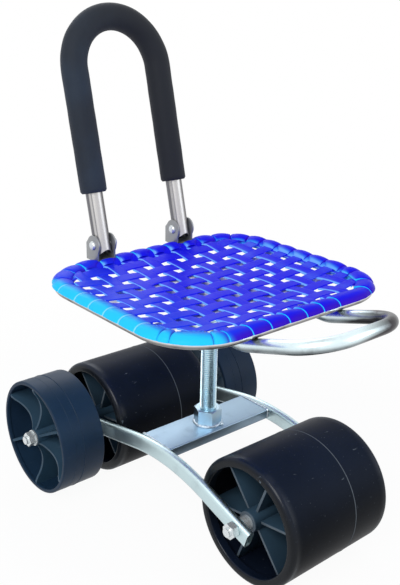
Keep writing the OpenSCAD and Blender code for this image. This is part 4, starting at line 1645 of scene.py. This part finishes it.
@dataclass
class Fittings:
    """Axle nuts, bolts and brackets."""

    shop: Workshop
    mid_y: float
    pivot: Vector
    axle_y: float = 178 * MM
    axle_z: float = 88 * MM
    front_nut_x: float = 108 * MM
    rear_nut_x: float = 193.3 * MM
    bracket_x: float = 73.4 * MM
    # The ears: radius round the bolt, metal, half the width over both, and reach to the front
    ear: float = 15 * MM
    thick: float = 2.5 * MM
    out: float = 15.5 * MM
    neck: float = 12 * MM
    web_up: float = 3 * MM
    bend: float = 0.45 * MM
    bolt_r: float = 4 * MM
    bolt_end: float = 37.6 * MM
    dome_r: float = 6.8 * MM
    dome_h: float = 3.8 * MM
    dome_rim: float = 0.7 * MM

    def axle_nuts(self) -> None:
        """The four nuts at the axles' ends."""
        bm = bmesh.new()
        for side in (-1, 1):
            for way, x in ((-1, self.front_nut_x), (1, self.rear_nut_x)):
                place = shift(side * x, self.mid_y + way * self.axle_y, self.axle_z)
                HexNut(19 * MM, 10 * MM, 6.05 * MM).add(
                    bm, place @ turn(90 * side, "Y") @ turn(20, "Z"))
        self.shop.piece("end_nuts", bm, "base", Look.BRIGHT, "zinc", ("axle_nuts",), 25.0)

    def brackets(self) -> None:
        """The two pressed U-brackets of the back bow."""
        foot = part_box("bracket_left")[0].z
        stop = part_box("bracket_left")[1].y - self.pivot.y
        first, last = 180 + math.degrees(math.acos(self.neck / self.ear)), 26.0
        angles = [math.radians(first + (last - first) * k / 20) for k in range(21)]
        outline = [(-self.neck, foot - self.pivot.z)]
        outline += [(self.ear * math.cos(a), self.ear * math.sin(a)) for a in angles]
        outline += [(stop - 1 * MM, self.web_up - 0.4 * MM), (stop, self.web_up - 2 * MM),
                    (stop, foot - self.pivot.z)]
        for side, name in ((-1, "left"), (1, "right")):
            bm = bmesh.new()
            x = side * self.bracket_x
            for lo in (-self.out, self.out - self.thick):
                corners = [(x + lo, self.pivot.y + y, self.pivot.z + z) for y, z in outline]
                made = slab(bm, corners, (self.thick, 0, 0))
                edges = [e for e in edges_among(made)
                         if abs(e.verts[0].co.x - e.verts[1].co.x) < 1e-7]
                soften(bm, edges, self.bend)
            half, back = self.out - 0.2 * MM, self.pivot.y + stop
            block(bm, (x - half, back - self.thick, foot),
                  (x + half, back, self.pivot.z + self.web_up - 1 * MM), Matrix.Identity(4),
                  0.5 * MM)
            block(bm, (x - half, self.pivot.y - self.neck, foot),
                  (x + half, back, foot + self.thick), Matrix.Identity(4), 0.5 * MM)
            self.shop.piece(f"pressed_bracket_{name}", bm, "seat", Look.BRACKET, "bracket_steel",
                            (f"bracket_{name}",), 30.0)

    def bolts(self) -> None:
        """Domed bolts through the brackets, and their nuts."""
        tip, end = 0.05 * MM, self.bolt_end
        dome = [(self.dome_r, 0.0), (self.dome_r, self.dome_rim)]
        for k in range(1, 9):
            a = math.radians(90 * k / 8)
            dome.append((max(tip, self.dome_r * math.cos(a) ** 0.9),
                         self.dome_rim + self.dome_h * math.sin(a)))
        shank = [(self.bolt_r, 0), (self.bolt_r, end - 0.6 * MM), (self.bolt_r - 0.8 * MM, end),
                 (tip, end), (tip, 0)]
        bolts, nuts = bmesh.new(), bmesh.new()
        for side in (-1, 1):
            x = side * self.bracket_x
            head = shift(x - self.out, self.pivot.y, self.pivot.z)
            lathe(bolts, dome + [(tip, 0.0)], 32, head @ turn(-90, "Y"))
            lathe(bolts, shank, 24, head @ turn(90, "Y"))
            tail = shift(x + self.out, self.pivot.y, self.pivot.z)
            HexNut(13 * MM, 6.5 * MM, 4.05 * MM).add(nuts, tail @ turn(90, "Y"))
        self.shop.piece("domed_bolts", bolts, "seat", Look.BRIGHT, "steel", ("bow_bolts",), 40.0)
        self.shop.piece("bolt_nuts", nuts, "seat", Look.BRIGHT, "steel", ("bow_nuts",), 25.0)


@dataclass
class SeatFrame:
    """Flat bars and welds of the steel frame under the seat."""

    shop: Workshop
    mid_y: float
    bar_y: float = 60 * MM
    bar_half: float = 10 * MM
    bar_forward: float = 9.5 * MM
    ring_in: float = 13.2 * MM
    # The weld beads along a bar's end, from its middle line
    weld_from: float = -18 * MM
    weld_to: float = -1 * MM
    loop_x: float = 77 * MM
    crank: float = 30.0
    crank_r: float = 8 * MM
    crank_run: float = 8 * MM
    end_run: float = 6 * MM

    def make(self) -> None:
        """Builds the bars, and beads where bars, plate, hub, ring and loop meet."""
        ring_low, ring_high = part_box("seat_ring")
        plate_low, plate_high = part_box("hub_plate")
        hub_low, hub_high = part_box("screw_hub")
        bm = bmesh.new()
        for side in (-1, 1):
            y = self.mid_y + side * self.bar_y
            y0, y1 = y + self.weld_from, y + self.weld_to
            for end in (-1, 1):
                x, z = end * (ring_high.x - self.ring_in - 0.2 * MM), ring_low.z + 2.4 * MM
                bead(bm, [(x, y0, z), (x, y1, z)], 1.7 * MM, side + end)
                x, z = end * (plate_high.x + 0.3 * MM), plate_high.z - 0.2 * MM
                bead(bm, [(x, y0, z), (x, y1, z)], 1.6 * MM, side - end)
        self.bars(ring_high.x - self.ring_in)
        radius = (hub_high.x - hub_low.x) / 2 + 0.6 * MM
        bead(bm, round_line(radius, 36, self.mid_y, plate_low.z - 0.5 * MM), 1.9 * MM, 4)
        self.shop.piece("frame_welds", bm, "seat", Look.WELD, "ring_steel", (), 60.0)
        bm = bmesh.new()
        for side in (-1, 1):
            x = side * self.loop_x
            y, z = ring_low.y + 3.8 * MM, ring_low.z - 1.3 * MM
            for dy in (-3.4 * MM, 3.6 * MM):
                bead(bm, [(x + dx, y + dy, z + dy * 0.3) for dx in (-5.5 * MM, 5.5 * MM)],
                     2.0 * MM, side)
            y, z = self.mid_y - self.bar_y, plate_high.z - 1 * MM
            for dx in (-4.5 * MM, 4.5 * MM):
                bead(bm, [(x + dx, y + dy, z) for dy in (-17 * MM, 17 * MM)], 1.6 * MM, side + 1)
        self.shop.piece("loop_welds", bm, "seat", Look.BURNT, "ring_steel", (), 60.0)

    def bars(self, reach: float) -> None:
        """The two flat bars, cranked up at their ends to meet the ring's inner side.

        Args:
            reach: half the length of a bar.
        """
        low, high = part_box("seat_bars")
        a, thick, level = math.radians(self.crank), high.z - low.z, (low.z + high.z) / 2
        rise = 2 * self.crank_r * (1 - math.cos(a)) + self.crank_run * math.sin(a)
        ahead = 2 * self.crank_r * math.sin(a) + self.crank_run * math.cos(a)
        section = oblong(thick, 2 * self.bar_half, 0.8 * MM, 3)
        bend, bm = (self.crank_r, self.crank), bmesh.new()
        for side in (-1, 1):
            y = self.mid_y + side * self.bar_y - self.bar_forward
            # Local X points down
            tube = Tube(bm, shift(-reach, y, level + rise) @ turn(90, "Y"), section)
            tube.run(self.end_run).bend(*bend, 0, 6).run(self.crank_run).bend(*bend, 180, 6)
            tube.run(2 * (reach - self.end_run - ahead), 6)
            tube.bend(*bend, 180, 6).run(self.crank_run).bend(*bend, 0, 6).run(self.end_run)
            tube.close()
        self.shop.piece("flat_bars", bm, "seat", Look.PLATE, "ring_steel", ("seat_bars",), 30.0)


@dataclass
class HandLoop:
    """The tilted tube loop at the front."""

    shop: Workshop
    mid_y: float
    root_y: float = -173.422 * MM
    root_z: float = 331.353 * MM
    radius: float = 9 * MM
    wall: float = 1.5 * MM
    leg_x: float = 77 * MM
    length: float = 105 * MM
    bend: float = 51 * MM
    tilt: float = 16.8
    root_r: float = 60 * MM
    level_z: float = 324.4 * MM
    back_y: float = -40 * MM

    def make(self) -> None:
        """Builds the loop in one run from leg to leg."""
        t = math.radians(self.tilt)
        knee_y = self.root_y + (self.root_z - self.level_z) / math.tan(t)
        leg = self.root_r * math.tan(t / 2)
        straight = (knee_y - self.root_y) / math.cos(t) + self.length - self.bend - leg
        level = self.back_y - (knee_y + leg)
        start = shift(-self.leg_x, self.mid_y + self.back_y, self.level_z) @ turn(90, "X")
        bm = bmesh.new()
        # Local Z points to -Y, local Y up
        tube = Tube(bm, start, circle(self.radius, 32))
        tube.run(level, 4).bend(self.root_r, self.tilt, 90, 10).run(straight, 6)
        tube.bend(self.bend, 90, 0, 28).run(2 * (self.leg_x - self.bend), 4)
        tube.bend(self.bend, 90, 0, 28)
        tube.run(straight, 6).bend(self.root_r, self.tilt, 90, 10).run(level, 4)
        made = self.shop.piece("loop_tube", bm, "seat", Look.LOOP, "zinc",
                               ("hand_loop", "loop_stubs"), 40.0)
        hollow(made, self.wall)


@dataclass
class BackBow:
    """The bent tube of the back and its foam."""

    shop: Workshop
    pivot: Vector
    lean: float = 14.0
    radius: float = 12.5 * MM
    wall: float = 1.5 * MM
    leg_x: float = 73.4 * MM
    length: float = 248.5 * MM
    tail: float = 9 * MM
    tail_r: float = 15.2 * MM
    foam: float = 19.5 * MM
    foam_low: float = 75 * MM
    # The foam's rounded mouths, its play on the tube and its faint unevenness
    mouth_h: float = 3.2 * MM
    mouth_in: float = 2.2 * MM
    play: float = 0.3 * MM
    swell: float = 0.15 * MM

    def frame(self) -> Matrix:
        """The bow's own frame: Y up the legs, Z to the front."""
        return Matrix.Translation(self.pivot) @ turn(90 - self.lean, "X")

    def tube(self) -> None:
        """The steel tube."""
        bm = bmesh.new()
        start = self.frame() @ shift(-self.leg_x, -self.tail, 0) @ turn(-90, "X")
        leg = self.length + self.tail
        tube = Tube(bm, start, circle(self.radius, 40)).run(leg, 12)
        tube.bend(self.leg_x, 180, 0, 64).run(leg, 12)
        # Rounded ends, which swing clear of the brackets' back plates
        local = self.frame().inverted()
        for v in bm.verts:
            p = local @ v.co
            if p.y < MM - self.tail:
                end = -math.sqrt(self.tail_r ** 2 - p.z ** 2)
                v.co = self.frame() @ Vector((p.x, end, p.z))
        made = self.shop.piece("bow_tube", bm, "back", Look.BOW, "bow_steel", ("back_bow",), 40.0)
        hollow(made, self.wall)

    def sleeve(self) -> None:
        """The foam with softly rounded ends."""
        bm = bmesh.new()
        start = self.frame() @ shift(-self.leg_x, self.foam_low, 0) @ turn(-90, "X")
        run = self.length - self.foam_low
        tube = Tube(bm, start, circle(self.foam, 56)).run(run, 60)
        tube.bend(self.leg_x, 180, 0, 120).run(run, 60)
        local = self.frame().inverted()
        for v in bm.verts:
            p = local @ v.co
            axis = self.axis_point(p)
            # How far up its rounded mouth the place lies
            part = max(0.0, 1 - max(p.y - self.foam_low, 0.0) / self.mouth_h)
            uneven = 0.10 * math.sin(p.y * 95 + p.x * 23) + 0.07 * math.sin(p.y * 210 + 1.3)
            radius = self.foam - self.mouth_in * part * part - self.swell + uneven * MM
            v.co = self.frame() @ (axis + (p - axis).normalized() * radius)
        made = self.shop.piece("foam_grip", bm, "back", Look.FOAM, "foam", ("foam_sleeve",), 60.0)
        hollow(made, self.foam - self.radius - self.play)

    def axis_point(self, p: Vector) -> Vector:
        """The nearest point of the bow's middle line.

        Args:
            p: a place in the bow's own frame.

        Returns:
            The point, in the same frame.
        """
        if p.y <= self.length:
            return Vector((math.copysign(self.leg_x, p.x), p.y, 0))
        away = Vector((p.x, p.y - self.length, 0)).normalized() * self.leg_x
        return Vector((away.x, away.y + self.length, 0))

    def make(self) -> None:
        """Builds the bow."""
        self.tube()
        self.sleeve()


@dataclass
class Studio:
    """Floor, lights and the camera of the reference view."""

    mid_y: float
    azimuth: float = -40.643
    elevation: float = 20.156
    roll: float = 1.236
    focus: float = 830.45
    eye: tuple = (-720.890 * MM, -816.396 * MM, 730.374 * MM)
    long_side: float = 585.0

    def camera(self) -> None:
        """The camera of the photograph."""
        a, e, r = (math.radians(v) for v in (self.azimuth, self.elevation, self.roll))
        back = Vector((math.sin(a) * math.cos(e), -math.cos(a) * math.cos(e), math.sin(e)))
        right = Vector((math.cos(a), math.sin(a), 0))
        up = back.cross(right)
        x = right * math.cos(r) + up * math.sin(r)
        y = up * math.cos(r) - right * math.sin(r)
        data = bpy.data.cameras.new("view")
        data.sensor_fit = "AUTO"
        data.sensor_width = 36.0
        data.lens = self.focus / self.long_side * 36.0
        data.clip_start, data.clip_end = 0.05, 50.0
        camera = bpy.data.objects.new("view", data)
        turned = Matrix((x, y, back)).transposed().to_4x4()
        camera.matrix_world = shift(0, self.mid_y, 0) @ shift(*self.eye) @ turned
        bpy.context.scene.collection.objects.link(camera)
        bpy.context.scene.camera = camera

    def lamps(self) -> None:
        """Three square area lights: name, place, height aimed at, size, watts and colour."""
        for name, place, aim, size, watts, colour in (
                ("key", (-1.9, -0.9, 2.0), 0.3, 1.4, 46.0, (1.0, 0.99, 0.96)),
                ("fill", (1.6, -2.0, 1.3), 0.25, 1.8, 14.0, (0.90, 0.95, 1.0)),
                ("back", (0.9, 2.2, 1.8), 0.35, 1.6, 16.0, (0.95, 0.97, 1.0))):
            data = bpy.data.lights.new(name, "AREA")
            data.shape, data.size, data.energy, data.color = "SQUARE", size, watts, colour
            lamp = bpy.data.objects.new(name, data)
            lamp.location = place
            lamp.rotation_mode = "QUATERNION"
            back = Vector(place) - Vector((0, 0, aim))
            lamp.rotation_quaternion = back.to_track_quat("Z", "Y")
            bpy.context.scene.collection.objects.link(lamp)

    def world(self) -> None:
        """White for the camera and for gloss, plain light for the rest."""
        g = Graph("studio", world=True)
        g.set(Color=(0.86, 0.92, 1.0), Strength=0.55)
        white = {"Color": (1.0, 1.0, 1.0), "Strength": 1.0}
        g.show(g.seen(), g.node("ShaderNodeBackground", None, white))
        bpy.context.scene.world = g.owner

    def floor(self) -> None:
        """A wide pale floor that keeps a faint shadow."""
        bm = bmesh.new()
        bmesh.ops.create_grid(bm, x_segments=2, y_segments=2, size=6.0)
        mesh = bpy.data.meshes.new("floor")
        bm.to_mesh(mesh)
        bm.free()
        floor = bpy.data.objects.new("floor", mesh)
        bpy.context.scene.collection.objects.link(floor)
        g = Graph("pale_floor")
        g.set(Base_Color=(0.80, 0.80, 0.80), Roughness=0.9)
        where = g.place()
        far = g.ramp((g.axis(where, "X") ** 2.0 + g.axis(where, "Y") ** 2.0) ** 0.5, 0.35, 1.1)
        white = {"Color": (1.0, 1.0, 1.0), "Strength": 1.0}
        g.show(g.seen() * (far * 0.05 + 0.95), g.node("ShaderNodeEmission", None, white))
        mesh.materials.append(g.owner)

    def make(self) -> None:
        """Sets up the whole studio."""
        self.camera()
        self.world()
        self.floor()
        self.lamps()
        bpy.context.scene.view_settings.view_transform = "Standard"


NODE_LOOKS = {
    **dict.fromkeys(("front_axle", "rear_axle", "wheel_washers", "roller_collars",
                     "wheel_collars", "cover_screws"), Look.BRIGHT),
    **dict.fromkeys(("front_roller_bushes", "rear_roller_bushes", "wheel_left_bushes",
                     "wheel_right_bushes"), Look.NYLON),
    "seat_ring": Look.RING, "hub_plate": Look.PLATE, "screw_hub": Look.PLATE,
}


def main() -> None:
    """Builds every sub-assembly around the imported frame."""
    logging.basicConfig(level=logging.INFO, format="%(name)s: %(message)s")
    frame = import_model()
    shop = Workshop()
    mid_y = middle("lift_screw").y
    Studio(mid_y).make()

    for node, look in NODE_LOOKS.items():
        shop.paint(frame["nodes"][node].data, look)
    WovenSeat(shop, shift(0, mid_y - 6.5 * MM, 0)).make()
    roller, wheel = Roller(shop), Wheel(shop)
    roller.make("roller_front", "front_roll", "front_roller")
    roller.make("roller_rear", "rear_roll", "rear_roller")
    wheel.make("open_wheel_left", "left_wheel", "wheel_left")
    wheel.make("open_wheel_right", "right_wheel", "wheel_right")
    Chassis(shop, mid_y).make()
    low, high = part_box("lift_screw")
    lift = Lift(shop, mid_y, low.z, high.z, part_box("lift_nut")[0].z)
    lift.screw()
    lift.nut()
    pivot = Vector((0, middle("bow_nuts").y, middle("bow_nuts").z))
    fittings = Fittings(shop, mid_y, pivot)
    fittings.axle_nuts()
    fittings.brackets()
    fittings.bolts()
    SeatFrame(shop, mid_y).make()
    HandLoop(shop, mid_y).make()
    BackBow(shop, pivot).make()


if __name__ == "__main__":
    main()
